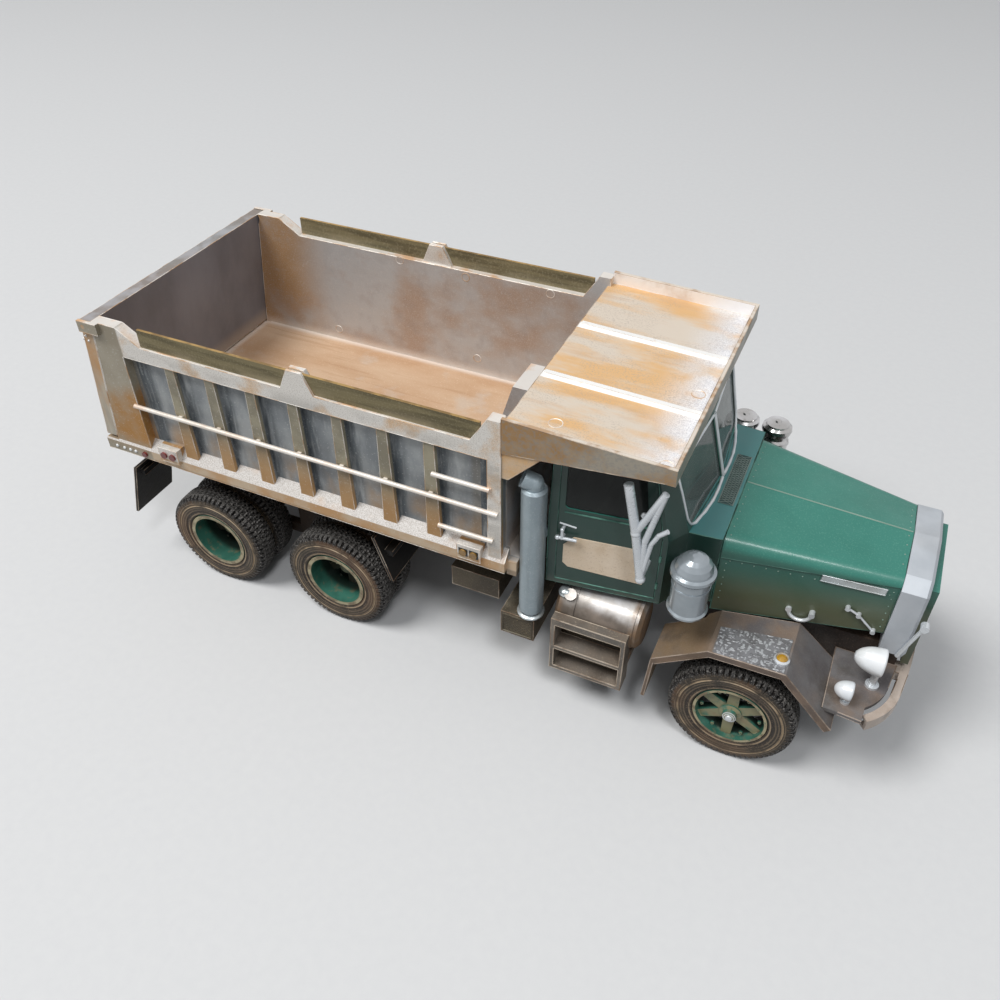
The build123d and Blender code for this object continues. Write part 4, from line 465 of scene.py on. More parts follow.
def ribbed_glass(look, ribs, colour):
    look.done(colour, look.blend(ribs, 0.15, 0.3), ribs, 0.00008, 0.0, 0.6, 0.4)


def lamp_lens(name, bright, dark):
    look = Look(name)
    ribs = look.noise(600, 2, (1, 0.1, 1))
    look.fill({"Emission Color": srgb(*bright), "Emission Strength": 0.02})
    ribbed_glass(look, ribs, look.mix(ribs, bright, dark))


def lamp_glass():
    """White headlamp glass; amber where the marker lamps stand on the fenders."""
    look = Look("white_lamp")
    ribs = look.noise(600, 2, (1, 0.1, 1))
    white = look.mix(ribs, (226, 228, 224), (190, 194, 192))
    amber = look.mix(ribs, (206, 160, 40), (150, 108, 24))
    ribbed_glass(look, ribs, look.mix(("x", 113, 112), white, amber))


def board_wood():
    look = Look("board_wood")
    grain = look.noise(300, 6, (0.12, 1, 1.6))
    colour = look.layers(
        look.mix(look.span(grain, 0.38, 0.64), (124, 114, 84), (92, 84, 60)),
        ((150, 140, 112), (1500, 2, 0.52, 0.64), 0.4),
        ((158, 146, 120), ("z", 110.5, 106.8), (60, 6, 0.4, 0.6), 0.5),  # dusty
        (look.mottled((178, 144, 88), (132, 104, 62), 200, 4, 0.4, 0.6), ("nz", 0.6, 0.9), 0.85))  # top
    look.done(colour, look.blend(grain, 0.6, 0.8), grain, 0.00010)


def chrome_plate():
    look = Look("chrome_plate")
    spots = look.spots(260, 6, 0.56, 0.72)
    colour = look.layers(
        look.mottled((222, 222, 224), (188, 186, 184), 60, 6, 0.4, 0.7),
        ((120, 104, 90), spots, 0.3))
    grain = look.noise(1400, 2)
    roughness = look.blend(spots, look.blend(look.span(grain, 0.3, 0.7), 0.14, 0.2), 0.44)
    look.done(colour, roughness, grain, 0.00002, 1.0)


def tread_plate():
    """Worn steel plate with a raised chequer pattern."""
    look = Look("tread_plate")
    lozenge = look.most(look.span(look.cells(1000, (1, 0.5, 1)), 0.48, 0.32),
                        look.span(look.cells(940, (0.5, 1, 1)), 0.38, 0.26))
    colour = look.layers(
        look.mottled((140, 140, 144), (116, 115, 117), 160, 5, 0.35, 0.65),
        ((196, 198, 202), lozenge, (500, 3, 0.35, 0.6)),
        ((150, 130, 106), look.most(("x", 86.8, 85.5), ("side", 33.2, 31.8)), (300, 5, 0.3, 0.6), 0.7))  # edge
    look.done(colour, look.blend(lozenge, 0.5, 0.32), lozenge, 0.00018, 0.4)


def silver(name, base, shade, rough, metal, dirt):
    """Bright silver paint, a little duller and dirtier in patches, and darker on faces that look down as painted
    shade.
    """
    look = Look(name)
    colour = look.layers(
        look.mottled(base, shade, 60, 6, 0.35, 0.7),
        ((136, 130, 122), (70, 3, 0.5, 0.72), dirt),
        # painted shade on faces that look down
        ((120, 124, 128), ("nz", -0.2, -0.7), 0.5))
    grain = look.noise(420, 3)
    look.done(colour, look.blend(look.span(grain, 0.3, 0.7), rough, rough + 0.05), grain, 0.000001, metal)


def tank_metal():
    """Polished top, pale enough to be partly a painted highlight; brown and dirty towards the bottom and the ends."""
    look = Look("tank_metal")
    uneven = look.times(look.maths("SUBTRACT", look.noise(120, 6), 0.5), 0.6)
    under = look.span(look.maths("ADD", look.nz, uneven), 0.95, 0.45)
    ends = look.most(("x", 58.5, 60), ("x", 36.8, 35))
    colour = look.layers(
        # the pale top is partly a painted highlight
        look.mottled((234, 234, 236), (196, 190, 184), 90, 6, 0.4, 0.66),
        (look.mottled((112, 96, 80), (78, 66, 54), 90, 6, 0.4, 0.6), under, 0.9),
        ((132, 104, 76), ends, (160, 6, 0.3, 0.6), 0.8))
    look.done(colour, look.blend(under, 0.3, 0.6), look.noise(1400, 3), 0.00004, 0.25)


def fender_paint():
    """Dusty dark plastic: grey slopes in front, brown behind, rusty lips."""
    look = Look("fender_paint")
    colour = look.layers(
        look.mottled((119, 118, 119), (98, 94, 95), 70, 6, 0.35, 0.65),
        ((128, 108, 84), ("x", 88, 82), (46, 6, 0.25, 0.55)),  # rear
        ((134, 110, 88), ("nz", 0.5, 0.9), (60, 7, 0.42, 0.64), 0.6),  # dusty
        ((74, 66, 58), (52, 7, 0.5, 0.62), 0.6),
        (look.mottled((124, 102, 84), (94, 78, 66), 80, 6, 0.4, 0.6), ("side", 46.2, 46.8), ("nz", 0.5, 0.2), 0.8),
        ((156, 146, 136), (2600, 2, 0.55, 0.66), 0.2))
    look.grained(colour, 1500, 0.45, 0.7, 0.00006, 0.1)


def edge_wear_and_highlight(name, bright, dull):
    """Paint rubbed thin along an edge, broken by dirt, and pale as a painted highlight on the edge."""
    look = Look(name)
    colour = look.mottled(bright, dull, 130, 6, 0.42, 0.6)
    look.grained(colour, 1200, 0.35, 0.6, 0.00003, 0.3)


for build in (bed_metal, canopy_metal, rusty_floor, gate_metal, tyre_rubber, wheel_green, green_paint, board_wood,
              chrome_plate, fender_paint, tread_plate, tank_metal, dark_glass, lamp_glass):
    build()
# name, colour, duller colour, roughness, metal, dirt
for row in (("silver_paint", (222, 226, 230), (206, 211, 216), 0.26, 0.4, 0.15),
            ("shell_paint", (192, 197, 203), (177, 183, 190), 0.5, 0.3, 0.15),
            ("cleaner", (164, 172, 178), (145, 154, 160), 0.2, 0.55, 0.1),
            ("frame_silver", (247, 249, 251), (226, 231, 236), 0.2, 0.15, 0.1),
            ("bright_trim", (206, 212, 214), (160, 168, 170), 0.25, 0.6, 0.4)):
    silver(*row)
# name, bright, dull
for row in (("bed_edges", (240, 235, 228), (196, 160, 122)), ("brown_edges", (198, 184, 166), (128, 104, 84)),
            ("fender_edges", (188, 172, 158), (124, 106, 90)), ("green_edges", (92, 140, 126), (46, 84, 74))):
    edge_wear_and_highlight(*row)
lamp_lens("red_lamp", (126, 30, 24), (78, 16, 14))
lamp_lens("amber_lamp", (168, 128, 58), (84, 62, 28))
weathered("stack_paint", (158, 171, 177), (139, 152, 160), (100, 104, 106), (0.34, 0.5), 0.4, top=0.1,
          patch=((134, 148, 154), 0.35, 120), specks=((220, 226, 228), 0.15), streaks=0.2)
weathered("bar_paint", (236, 232, 226), (222, 214, 204), (206, 168, 136), (0.34, 0.5), 0.2, top=0.1,
          patch=((220, 178, 144), 0.5, 60), specks=((206, 168, 136), 0.1))
weathered("vent_green", (44, 78, 76), (36, 64, 62), (90, 96, 88), (0.4, 0.6), top=0.1)
weathered("weathered_steel", (58, 50, 45), (44, 38, 35), (104, 86, 72), (0.5, 0.8), top=0.65, low=(14, 46),
          patch=((84, 62, 46), 0.4, 70), specks=((128, 108, 92), 0.25), height=0.00009, specular=0.35)
weathered("bumper", (212, 200, 190), (182, 168, 157), (164, 140, 118), (0.38, 0.6), 0.25, top=0.3,
          patch=((112, 98, 86), 0.6, 90), specks=((196, 188, 178), 0.35), height=0.00005)
weathered("steps", (134, 126, 117), (104, 99, 93), (126, 112, 98), (0.42, 0.65), 0.15, top=0.6,
          patch=((78, 66, 56), 0.6, 90), specks=((176, 160, 142), 0.4), specular=0.4)
weathered("boxes", (100, 90, 74), (74, 68, 58), (118, 112, 98), (0.5, 0.7), 0.05, top=0.7,
          patch=((64, 56, 46), 0.6, 90), specks=((156, 140, 112), 0.45), height=0.00008, specular=0.35)
weathered("flap_rubber", (20, 19, 18), (15, 14, 14), (48, 43, 35), (0.55, 0.8), top=0.3, low=(22, 42),
          patch=((32, 29, 24), 0.5, 60), specks=((48, 43, 35), 0.25), specular=0.35)
weathered("black_plastic", (24, 26, 27), (34, 36, 37), (70, 68, 62), (0.4, 0.7), top=0.3,
          patch=((44, 46, 45), 0.4, 120), specks=((70, 68, 62), 0.1))
weathered("seat_brown", (58, 46, 36), (44, 36, 29), (84, 74, 62), (0.5, 0.75), top=0.2,
          patch=((36, 30, 24), 0.5, 110), specks=((84, 74, 62), 0.1))
weathered("sign_plate", (240, 222, 200), (228, 206, 178), (190, 166, 136), (0.45, 0.65), top=0.1,
          patch=((206, 180, 148), 0.4, 110), specks=((160, 128, 94), 0.25))
weathered("vent_wire", (140, 156, 150), (110, 126, 122), (120, 124, 116), (0.4, 0.6), 0.3, top=0.2,
          patch=((70, 80, 76), 0.4, 200))
weathered("light_rivets", (142, 166, 154), (112, 142, 130), (120, 130, 110), (0.35, 0.5), 0.1, top=0.2)


def listed(table):
    """The key for each word in a table's lists of words."""
    return {word: key for key, words in table.items() for word in words.split()}


# looks by the material slot they belong to, where a look isn't a slot of its own
slot_of = listed({
    "aged_aluminium": "canopy_metal gate_metal bed_edges",
    "green_paint": "wheel_green green_edges light_rivets vent_green",
    "silver_paint": "shell_paint stack_paint bar_paint bright_trim sign_plate cleaner frame_silver",
    "weathered_steel": "fender_paint tread_plate bumper steps boxes brown_edges fender_edges tank_metal",
    "flap_rubber": "black_plastic vent_wire",
    "clear_glass": "white_lamp",
})
# CAD nodes by look; all others are weathered steel
node_looks = listed({
    "bed_rust": "bed_floor", "aged_aluminium": "bed_sides bed_front", "canopy_metal": "canopy",
    "board_wood": "side_boards", "bar_paint": "side_bars", "gate_metal": "tailgate",
    "red_lamp": "bed_lamps_red", "amber_lamp": "bed_lamps_amber", "white_lamp": "lamp_lenses",
    "green_paint": "hood cab_shell doors radiator_grille", "clear_glass": "cab_glass", "seat_brown": "seat",
    "black_plastic": "dashboard steering_wheel radiator_core", "shell_paint": "radiator_shell",
    "silver_paint": "headlamps mirror_arms handles hoist_stage_1 hoist_stage_2 hoist_plunger",
    "cleaner": "air_cleaner_right", "chrome_plate": "air_cleaners_left", "stack_paint": "exhaust_stack",
    "flap_rubber": "mud_flaps", "fender_paint": "fenders", "bumper": "bumper", "steps": "steps",
    "boxes": "side_boxes", "tank_metal": "fuel_tanks",
})
for name, node in nodes.items():
    if "wheel" in name and name != "steering_wheel":
        key = "wheel_green"
    elif "tyre" in name:
        key = "tyre_rubber"
    else:
        key = node_looks.get(name, "weathered_steel")
    node.data.materials.clear()
    node.data.materials.append(looks[key])


# ---------------- shapes
def across(axis):
    """Two unit directions square to an axis, and the axis itself at length 1."""
    axis = Vector(axis).normalized()
    first = axis.orthogonal().normalized()
    return first, axis.cross(first), axis


def placed(name, data):
    made = bpy.data.objects.new(name, data)
    bpy.context.scene.collection.objects.link(made)
    return made


def circle(middle, first, second, radius, count):
    """Points round a middle, in the plane of two unit directions."""
    turns = [2 * math.pi * i / count for i in range(count)]
    return [middle + (first * math.cos(a) + second * math.sin(a)) * radius for a in turns]


class Form:
    """A mesh under construction, in millimetres."""

    def __init__(self):
        self.mesh = bmesh.new()

    def skin(self, rings, capped=False):
        """Faces between closed rings of points; a ring of one point is a tip."""
        made = [[self.mesh.verts.new(Vector(p) * MM) for p in ring] for ring in rings]
        for low, high in zip(made, made[1:]):
            count = max(len(low), len(high))
            for i in range(count):
                j = (i + 1) % count
                corners = []
                for ring, order in ((low, (i, j)), (high, (j, i))):
                    for k in order:
                        v = ring[k] if len(ring) > 1 else ring[0]
                        if v not in corners:
                            corners.append(v)
                if len(corners) > 2:
                    self.mesh.faces.new(corners)
        if capped:
            for ring in (made[0], made[-1]):
                self.mesh.faces.new(ring)

    def lathe(self, profile, origin, axis, count=20):
        """Turned body: profile is (distance along the axis, radius)."""
        first, second, axis = across(axis)
        rings = []
        for along, radius in profile:
            middle = Vector(origin) + axis * along
            rings.append(circle(middle, first, second, radius, count) if radius else [middle])
        self.skin(rings)

    def rivet(self, origin, axis, radius, height):
        profile = [(-0.2, radius), (0, radius), (height * 0.6, radius * 0.8), (height, radius * 0.35), (height, 0)]
        self.lathe(profile, origin, axis, 8)

    def hexagon(self, origin, axis, radius, height):
        profile = [(-0.2, radius), (height * 0.8, radius), (height, radius * 0.8), (height, radius * 0.45),
                   (height * 1.6, radius * 0.4), (height * 1.7, 0)]
        self.lathe(profile, origin, axis, 6)

    def bar(self, points, radius, count=8, loop=False):
        """Round bar along points; radius is a number or one for each point."""
        points = [Vector(p) for p in points]
        if not isinstance(radius, (list, tuple)):
            radius = [radius] * len(points)
        rings = []
        last = len(points) - 1
        first = None
        for i, point in enumerate(points):
            before = points[i - 1] if i or loop else point
            after = points[(i + 1) % len(points)] if i < last or loop else point
            along = (after - before).normalized()
            if first is None:
                first, second, _ = across(along)
            else:
                first = (first - along * first.dot(along)).normalized()
                second = along.cross(first)
            rings.append(circle(point, first, second, radius[i], count))
        if loop:
            self.skin(rings + rings[:1])
            bmesh.ops.remove_doubles(self.mesh, verts=self.mesh.verts, dist=1e-7)
        else:
            self.skin(rings, capped=True)

    def ring(self, middle, axis, radius, thick):
        """A round wire ring lying on a surface."""
        first, second, _ = across(axis)
        self.bar(circle(Vector(middle), first, second, radius, 20), thick, 6, loop=True)

    def slab(self, points, thickness, bevel=0.0, flip=False):
        """Plate from an outline in space, thickened along its normal, its upper edge drawn in by bevel."""
        points = [Vector(p) for p in points]
        if flip:
            points.reverse()
        normal = sum((a.cross(b) for a, b in zip(points, points[1:] + points[:1])), Vector()).normalized()
        middle = sum(points, Vector()) / len(points)
        rings = [points, [p + normal * (thickness - bevel) for p in points]]
        if bevel:
            rings.append([p + (middle - p).normalized() * bevel + normal * thickness for p in points])
        self.skin(rings, capped=True)

    def piece(self, name, look, body="chassis", smooth=True, angle=35):
        bmesh.ops.recalc_face_normals(self.mesh, faces=self.mesh.faces)
        data = bpy.data.meshes.new(name)
        self.mesh.to_mesh(data)
        self.mesh.free()
        data.materials.append(looks[look])
        made = placed(name, data)
        if smooth:
            for face in data.polygons:
                face.use_smooth = True
            data.set_sharp_from_angle(angle=math.radians(angle))
        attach(made, body)
        return made


def in_box(point, radius):
    """The point in mm, moved so that a bar of this radius stays inside the CAD box."""
    low, high = ([v / MM for v in corner] for corner in cad_box)
    gap = radius + 0.01
    return Vector([min(max(c, a + gap), b - gap) for c, a, b in zip(point, low, high)])


# edges sharper than this many degrees are rubbed and get a painted highlight
SHARP = 50


def worn_and_highlit_edges(node, look, body, radius, least, keep=None):
    """Thin bars of rubbed paint and painted highlight along a CAD piece's sharp edges, each set one radius inside its
    edge.
    """
    source = bmesh.new()
    source.from_mesh(nodes[node].data)
    bmesh.ops.remove_doubles(source, verts=source.verts, dist=2e-6)
    bmesh.ops.dissolve_limit(source, angle_limit=math.radians(2), verts=source.verts, edges=source.edges)
    source.normal_update()
    form = Form()
    for edge in source.edges:
        if len(edge.link_faces) != 2 or not edge.is_convex or edge.calc_length() < least * MM:
            continue
        if edge.calc_face_angle() < math.radians(SHARP):
            continue
        outward = (edge.link_faces[0].normal + edge.link_faces[1].normal).normalized()
        ends = [v.co / MM for v in edge.verts]
        if keep and not keep(sum(ends, Vector()) / 2):
            continue
        form.bar([in_box(end - outward * radius, radius) for end in ends], radius, 6)
    source.free()
    form.piece(f"edges_{node}", look, body)


trees = {}


def lands(node, point, way):
    """Where a line from point along way first meets a CAD piece, in millimetres."""
    if node not in trees:
        data = nodes[node].data
        trees[node] = BVHTree.FromPolygons([v.co for v in data.vertices], [p.vertices for p in data.polygons])
    spot, normal, _, _ = trees[node].ray_cast(Vector(point) * MM, Vector(way))
    return spot / MM, normal


# ---------------- tyres
BORE = 12.0
# section: distance in from the outer face, radius, depth of the lug gaps there
TYRE_SECTION = (
    (0.95, BORE + 0.1, 0), (0.45, BORE + 0.5, 0), (0.15, BORE + 1.0, 0), (0.10, BORE + 1.3, 0),
    (0.34, BORE + 1.6, 0), (0.34, BORE + 2.1, 0), (0.08, BORE + 2.5, 0), (0.0, 15.6, 0), (0.0, 16.6, 0),
    (0.26, 16.8, 0), (0.26, 17.1, 0), (0.0, 17.35, 0), (0.05, 17.8, 0.0), (0.2, 18.5, 0.6), (0.35, 19.3, 1.1),
    (0.6, 20.0, 1.3), (1.3, 20.45, 1.3), (2.3, 20.7, 1.2), (2.75, 20.75, 0.0), (2.8, 19.8, 0), (3.15, 19.8, 0),
    (3.2, 20.78, 0.75), (4.15, 20.8, 0.75), (4.2, 19.8, 0), (4.5, 19.8, 0), (4.55, 20.8, 0.6), (5.2, 20.8, 0.6),
)
LUGS = 62
# the crown's rows of lugs are this far in from either face
CROWN = 3.0


def tyre_rings(form, x, outer, side):
    """One tyre: shoulder lugs, two crown rows and grooves; outer is its outer face, side its direction."""
    back = [(TYRE_W - d, r, gap) for d, r, gap in reversed(TYRE_SECTION[:-1])]
    rings = []
    columns = LUGS * 4
    for k in range(columns):
        angle = 2 * math.pi * k / columns
        ring = []
        for i, (depth, radius, gap) in enumerate(list(TYRE_SECTION) + back):
            crown = CROWN < depth < TYRE_W - CROWN
            if k % 4 == (2 if crown and i % 2 else 0):
                radius -= gap
            ring.append((x + radius * math.cos(angle), side * (outer - depth), TYRE_R + radius * math.sin(angle)))
        rings.append(ring)
    rings.append(rings[0])
    form.skin(rings)


def wheel_body(axle, word):
    return f"front_wheel_{word}" if axle == "front" else f"{axle}_wheels_{word}"


def tyres():
    """Treaded tyres in place of the CAD's plain ones; the rear axles have two a side."""
    for axle, x in AXLES.items():
        for side, word in SIDES:
            node = f"front_tyre_{word}" if axle == "front" else f"{axle}_{word}_tyres"
            form = Form()
            for face in (46.0,) if axle == "front" else (46.5, 34.7):
                tyre_rings(form, x, face, side)
            bmesh.ops.remove_doubles(form.mesh, verts=form.mesh.verts, dist=1e-7)
            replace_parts(form.piece(f"tread_{node}", "tyre_rubber", wheel_body(axle, word), angle=28), node)


def nuts(form, x, y, side, radius, count, start, *size):
    """Nuts evenly round a wheel's axle."""
    for i in range(count):
        a = math.radians(360 * i / count + start)
        form.hexagon((x + radius * math.cos(a), side * y, TYRE_R + radius * math.sin(a)), (0, side, 0), *size)


def wheel_trim():
    """Nuts on the wheels, the front hub's stepped cap, and the rear hubs' caps and valves."""
    front = AXLES["front"]
    for side, word in SIDES:
        form = Form()
        nuts(form, front, 45.5, side, 11.3, 12, 15, 0.34, 0.3)
        nuts(form, front, 43.6, side, 9.4, 6, 0, 0.65, 0.5)
        nuts(form, front, 44.1, side, 2.7, 6, 29, 0.3, 0.3)
        form.piece(f"front_nuts_{word}", "wheel_green", wheel_body("front", word))
        cap = Form()
        cap.lathe([(0, 2.2), (0.25, 2.2), (0.3, 1.75), (0.55, 1.7), (0.6, 1.2), (0.95, 1.05), (1.05, 0.7), (1.1, 0)],
                  (front, side * 45.6, TYRE_R), (0, side, 0))
        cap.piece(f"front_cap_{word}", "silver_paint", wheel_body("front", word))
        for axle in ("mid", "rear"):
            x = AXLES[axle]
            form = Form()
            nuts(form, x, 36.8, side, 3.3, 12, 0, 0.27, 0.3)
            nuts(form, x, 35.7, side, 9.3, 6, 0, 0.62, 0.5)
            form.lathe([(0, 1.55), (0.35, 1.5), (0.6, 1.0), (0.7, 0)], (x, side * 39.0, TYRE_R), (0, side, 0), 16)
            form.bar([(x + 2.0, side * 43.5, TYRE_R + 10.2), (x + 2.0, side * 46.0, TYRE_R + 9.9)], 0.25, 6)
            form.piece(f"{axle}_nuts_{word}", "wheel_green", wheel_body(axle, word))


# ---------------- bonnet and cowl
def hood_y(x):
    """Half width of the bonnet's side panel at x: 29 behind and 20 in front, less the panel's set-back of 0.5."""
    share = (x - 80.65) / (132.2 - 80.65)
    return 29.0 + share * (20.0 - 29.0) - 0.5


def hood_top(x, y):
    """Height of the bonnet's top: nearly flat behind, crowned in front."""
    return lands("hood", (x, y, 150.0), (0, 0, -1))[0].z


def hood_trim():
    """Rows of rivets, the hinge along the middle, and a bare plate on each side."""
    form = Form()
    for y in (-13.2, -9.4, -5.6, 5.6, 9.4, 13.2, -1.9, 1.9):
        form.rivet((130.9, y, hood_top(130.9, y)), (0, 0, 1), 0.26, 0.2)
    for i in range(-7, 8):
        if i:
            form.rivet((82.0, i * 3.6, hood_top(82.0, i * 3.6)), (0, 0, 1), 0.24, 0.18)
    for side, _ in SIDES:
        row = [(83.6 + i * 3.55, 70.2 - (i * 3.55 - 0.4) * 0.055, 0.1) for i in range(14)]
        row += [(x, z, 0.05) for z in (54, 57, 60, 63, 66, 69) for x in (82.6, 130.6)]
        for x, z, lean in row:
            spot, _ = lands("hood", (x, side * 60.0, z), (0, -side, 0))
            form.rivet(spot, (0, side, lean), 0.24, 0.18)
    form.piece("hood_rivets", "light_rivets")

    hinge = Form()
    hinge.bar([(x, 0, hood_top(x, 0) + 0.02) for x in (81.0, 93, 106, 119, 131.8)], 0.24, 8)
    hinge.piece("hood_hinge", "light_rivets")

    for side, word in SIDES:
        plate = Form()
        outline = (109.9, 69.2), (128.6, 67.7), (128.8, 70.0), (110.2, 71.5)
        corners = [(x, side * (hood_y(x) + 0.05), z) for x, z in outline]
        if side > 0:
            corners.reverse()
        plate.slab(corners, 0.45, 0.12)
        plate.bar([(x, y + side * 0.5, z) for x, y, z in corners], 0.2, 6, loop=True)
        plate.piece(f"hood_plate_{word}", "bright_trim", smooth=False)


def cowl_vent():
    """Wire mesh over a dark opening in the cowl."""
    def outline(rear, front, half, z):
        return [(rear, -half, z), (front, -half, z), (front, half, z), (rear, half, z)]
    back = Form()
    back.slab(outline(74.9, 79.2, 13.2, 79.02), 0.06)
    back.piece("cowl_vent_back", "vent_green", smooth=False)
    mesh = Form()
    for y in range(-12, 13):
        for lean in (1, -1):
            mesh.bar([(75.1, y - lean, 79.16), (79.0, y + lean, 79.16)], 0.13, 4)
    mesh.bar(outline(74.8, 79.3, 13.3, 79.12), 0.2, 6, loop=True)
    mesh.piece("cowl_vent_mesh", "vent_wire", smooth=False)


# ---------------- cab
WAIST = 79.0
EAVE = 105.0


def screen_half(z):
    """Half width of the windscreen."""
    return 30.4 + 3.4 * (z - WAIST) / (EAVE - WAIST)


def on_screen(y, z, proud=0.1):
    """A point on the windscreen's slanting face."""
    t = (z - WAIST) / (EAVE - WAIST)
    nose, corner = 72.9 - 7.1 * t, 70.3 - 6.7 * t
    return (nose + (corner - nose) * abs(y) / screen_half(z) + proud, y, z)


def door_y(x, z):
    """Half width of the cab's side wall, which narrows forward, and above the waist towards the eave."""
    waist = 42.0 - (x - 29.5) / 36.5 * 4.8
    eave = 40.6 - (x - 30.1) / 29.9 * 3.6
    t = max(0.0, (z - WAIST) / (EAVE - WAIST))
    return waist + (eave - waist) * t


def screen_frames():
    """Silver strips round both panes, with the lower run laid on the cowl, and the centre post."""
    form = Form()
    inner, floor, top = 0.9, 79.6, 101.8
    outer_low, outer_high = (screen_half(z) - 0.8 for z in (floor, top))
    # radius of the upper and of the lower outer corner
    bend, turn = 2.5, 4.0
    edge = [(inner, 101.7), (outer_high - bend, top)]
    edge += [(outer_high - bend + bend * math.sin(a), top - bend + bend * math.cos(a)) for a in (0.4, 0.8, 1.2, 1.57)]
    edge += [(outer_low + (outer_high - outer_low) * (z - floor) / (top - floor), z) for z in (94.0, 88.0, 84.0)]
    edge += [(outer_low - turn + turn * math.sin(a), floor + turn - turn * math.cos(a)) for a in (1.2, 0.8, 0.4)]
    steps = 12
    for side, _ in SIDES:
        points = [on_screen(side * y, z) for y, z in edge]
        form.bar(points, 0.42, 8)
        low, radii = [], []
        for i in range(steps + 1):
            y = inner + (outer_low - turn - inner) * i / steps
            x, _, _ = on_screen(side * y, 79.5)
            bulge = 1.1 * math.sin(math.pi * i / steps)
            low.append((x + 0.3 + bulge, side * y, 79.35 + 0.1 * math.sin(i * 1.9)))
            radii.append(0.5 + 0.07 * math.sin(i * 2.3))
        form.bar(low + [points[-1]], radii + [0.42], 8)
    form.bar([on_screen(0.0, z, 0.25) for z in (79.4, 90, 102.0)], 0.55, 8)
    form.piece("screen_frames", "frame_silver")


def door_trim():
    """Bare sign plate, belt moulding, bright strips, hinges and the mirror's boss on each side of the cab; the
    moulding, lower lip and hinges are a paler green of worn paint and painted highlight, and the bright strips are a
    painted highlight.
    """
    for side, word in SIDES:
        sign = Form()
        corners = [(37.8, 73.5), (60.0, 73.6), (60.0, 59.3), (36.3, 60.5), (34.6, 62.1), (34.6, 69.7)]
        sign.slab([(x, side * (door_y(x, z) - 0.05), z) for x, z in corners], 0.2, 0.06, side < 0)
        sign.piece(f"door_plate_{word}", "sign_plate", smooth=False)
        form = Form()
        # a bright strip at the belt moulding's rear end: a painted highlight
        form.bar([(x, side * (door_y(x, z) + 0.1), z) for x, z in ((33.2, 78.4), (38.4, 77.5))], 0.3, 8)
        form.piece(f"door_strip_{word}", "frame_silver")
        edge = Form()
        # belt moulding, lower lip and hinges in paler green: worn paint and painted highlight
        edge.bar([(x, side * (door_y(x, 82.9) + 0.05), 82.9) for x in (34.4, 42.0, 50.0, 60.2)], 0.3, 8)
        edge.bar([(x, side * (door_y(x, 54.3) - 0.05), 54.4) for x in (32.6, 44.0, 54.0, 64.1)], 0.22, 6)
        for z in (60.0, 71.5):
            profile = [(-1.1, 0), (-1.1, 0.45), (1.1, 0.45), (1.1, 0)]
            edge.lathe(profile, (64.4, side * door_y(64.4, z), z), (0, 0, 1), 10)
        edge.piece(f"door_edges_{word}", "green_edges")
        boss = Form()
        spot = (57.9, side * door_y(57.9, 87.3), 87.3)
        boss.lathe([(-0.3, 1.0), (0.25, 1.0), (0.5, 0.75), (0.55, 0)], spot, (0, side, 0), 14)
        boss.piece(f"mirror_boss_{word}", "silver_paint")


# ---------------- fenders, steps, boxes, tanks
def fender_plates():
    """Chequered plates on the fenders' flat tops."""
    for side, word in SIDES:
        points = []
        for x, y in ((86.0, 35.6), (107.6, 32.6), (107.6, 46.7), (86.0, 46.7)):
            under, _ = lands("fenders", (x, side * min(y, 46.0), 60.0), (0, 0, -1))
            points.append((x, side * y, under.z - 0.05))
        form = Form()
        form.slab(points, 0.3, 0.1, side < 0)
        form.piece(f"fender_plate_{word}", "tread_plate", smooth=False)


def battery_face():
    """Net pattern in a raised border on the battery boxes' outer faces."""
    x0, x1, z0, z1 = 16.6, 27.2, 27.4, 35.6
    step, reach = 1.35, z1 - z0
    for side, word in SIDES:
        form = Form()
        y = lands("side_boxes", (22.0, side * 60.0, 31.5), (0, -side, 0))[0].y + side * 0.02
        low = x0 - reach
        while low < x1:
            a, b = max(x0, low), min(x1, low + reach)
            if b - a > 0.4:
                rise, fall = (a - low, b - low), (reach - (a - low), reach - (b - low))
                for za, zb in (rise, fall):
                    form.bar([(a, y, z0 + za), (b, y, z0 + zb)], 0.16, 4)
            low += step
        form.bar([(x0, y, z0), (x1, y, z0), (x1, y, z1), (x0, y, z1)], 0.4, 6, loop=True)
        form.piece(f"battery_net_{word}", "boxes")


def stack_foot():
    """Clamp under the exhaust stack, which stands on the right side only."""
    form = Form()
    form.lathe([(0.4, 3.0), (0.4, 4.5), (1.0, 4.6), (1.5, 4.1), (1.6, 3.6)], (25.8, -44.8, 38.2), (0, 0, 1), 24)
    form.piece("stack_clamps_right", "bright_trim")


def step_shade_plates():
    """Dark plates behind the steps, a painted shade where the floor would show through."""
    for side, word in SIDES:
        form = Form()
        points = [(x, side * 40.6, z) for x, z in ((34.6, 18.8), (59.5, 18.8), (59.5, 33.0), (34.6, 33.0))]
        form.slab(points, 0.5, 0.1, side < 0)
        form.piece(f"step_back_{word}", "boxes", smooth=False)


# x of the rim, y, z, radius, length
LAMPS = ((134.6, 28.9, 48.4, 4.3, 9.0), (128.0, 38.6, 42.6, 3.0, 5.4))


def lamp_shells():
    """Rounded, egg-shaped backs over the lamps."""
    form = Form()
    for x, y, z, radius, length in LAMPS:
        profile = [(-length, 0)]
        for i in range(1, 12):
            a = math.pi / 2 * i / 12
            profile.append((-length + (length - 0.9) * (1 - math.cos(a)), radius * 1.03 * math.sin(a)))
        profile += [(-0.9, radius * 1.04), (-0.5, radius * 1.05), (-0.1, radius * 0.98), (0.05, radius * 0.9)]
        for side, _ in SIDES:
            form.lathe(profile, (x, side * y, z), (1, 0, 0), 28)
    form.piece("lamp_shells", "frame_silver", angle=60)


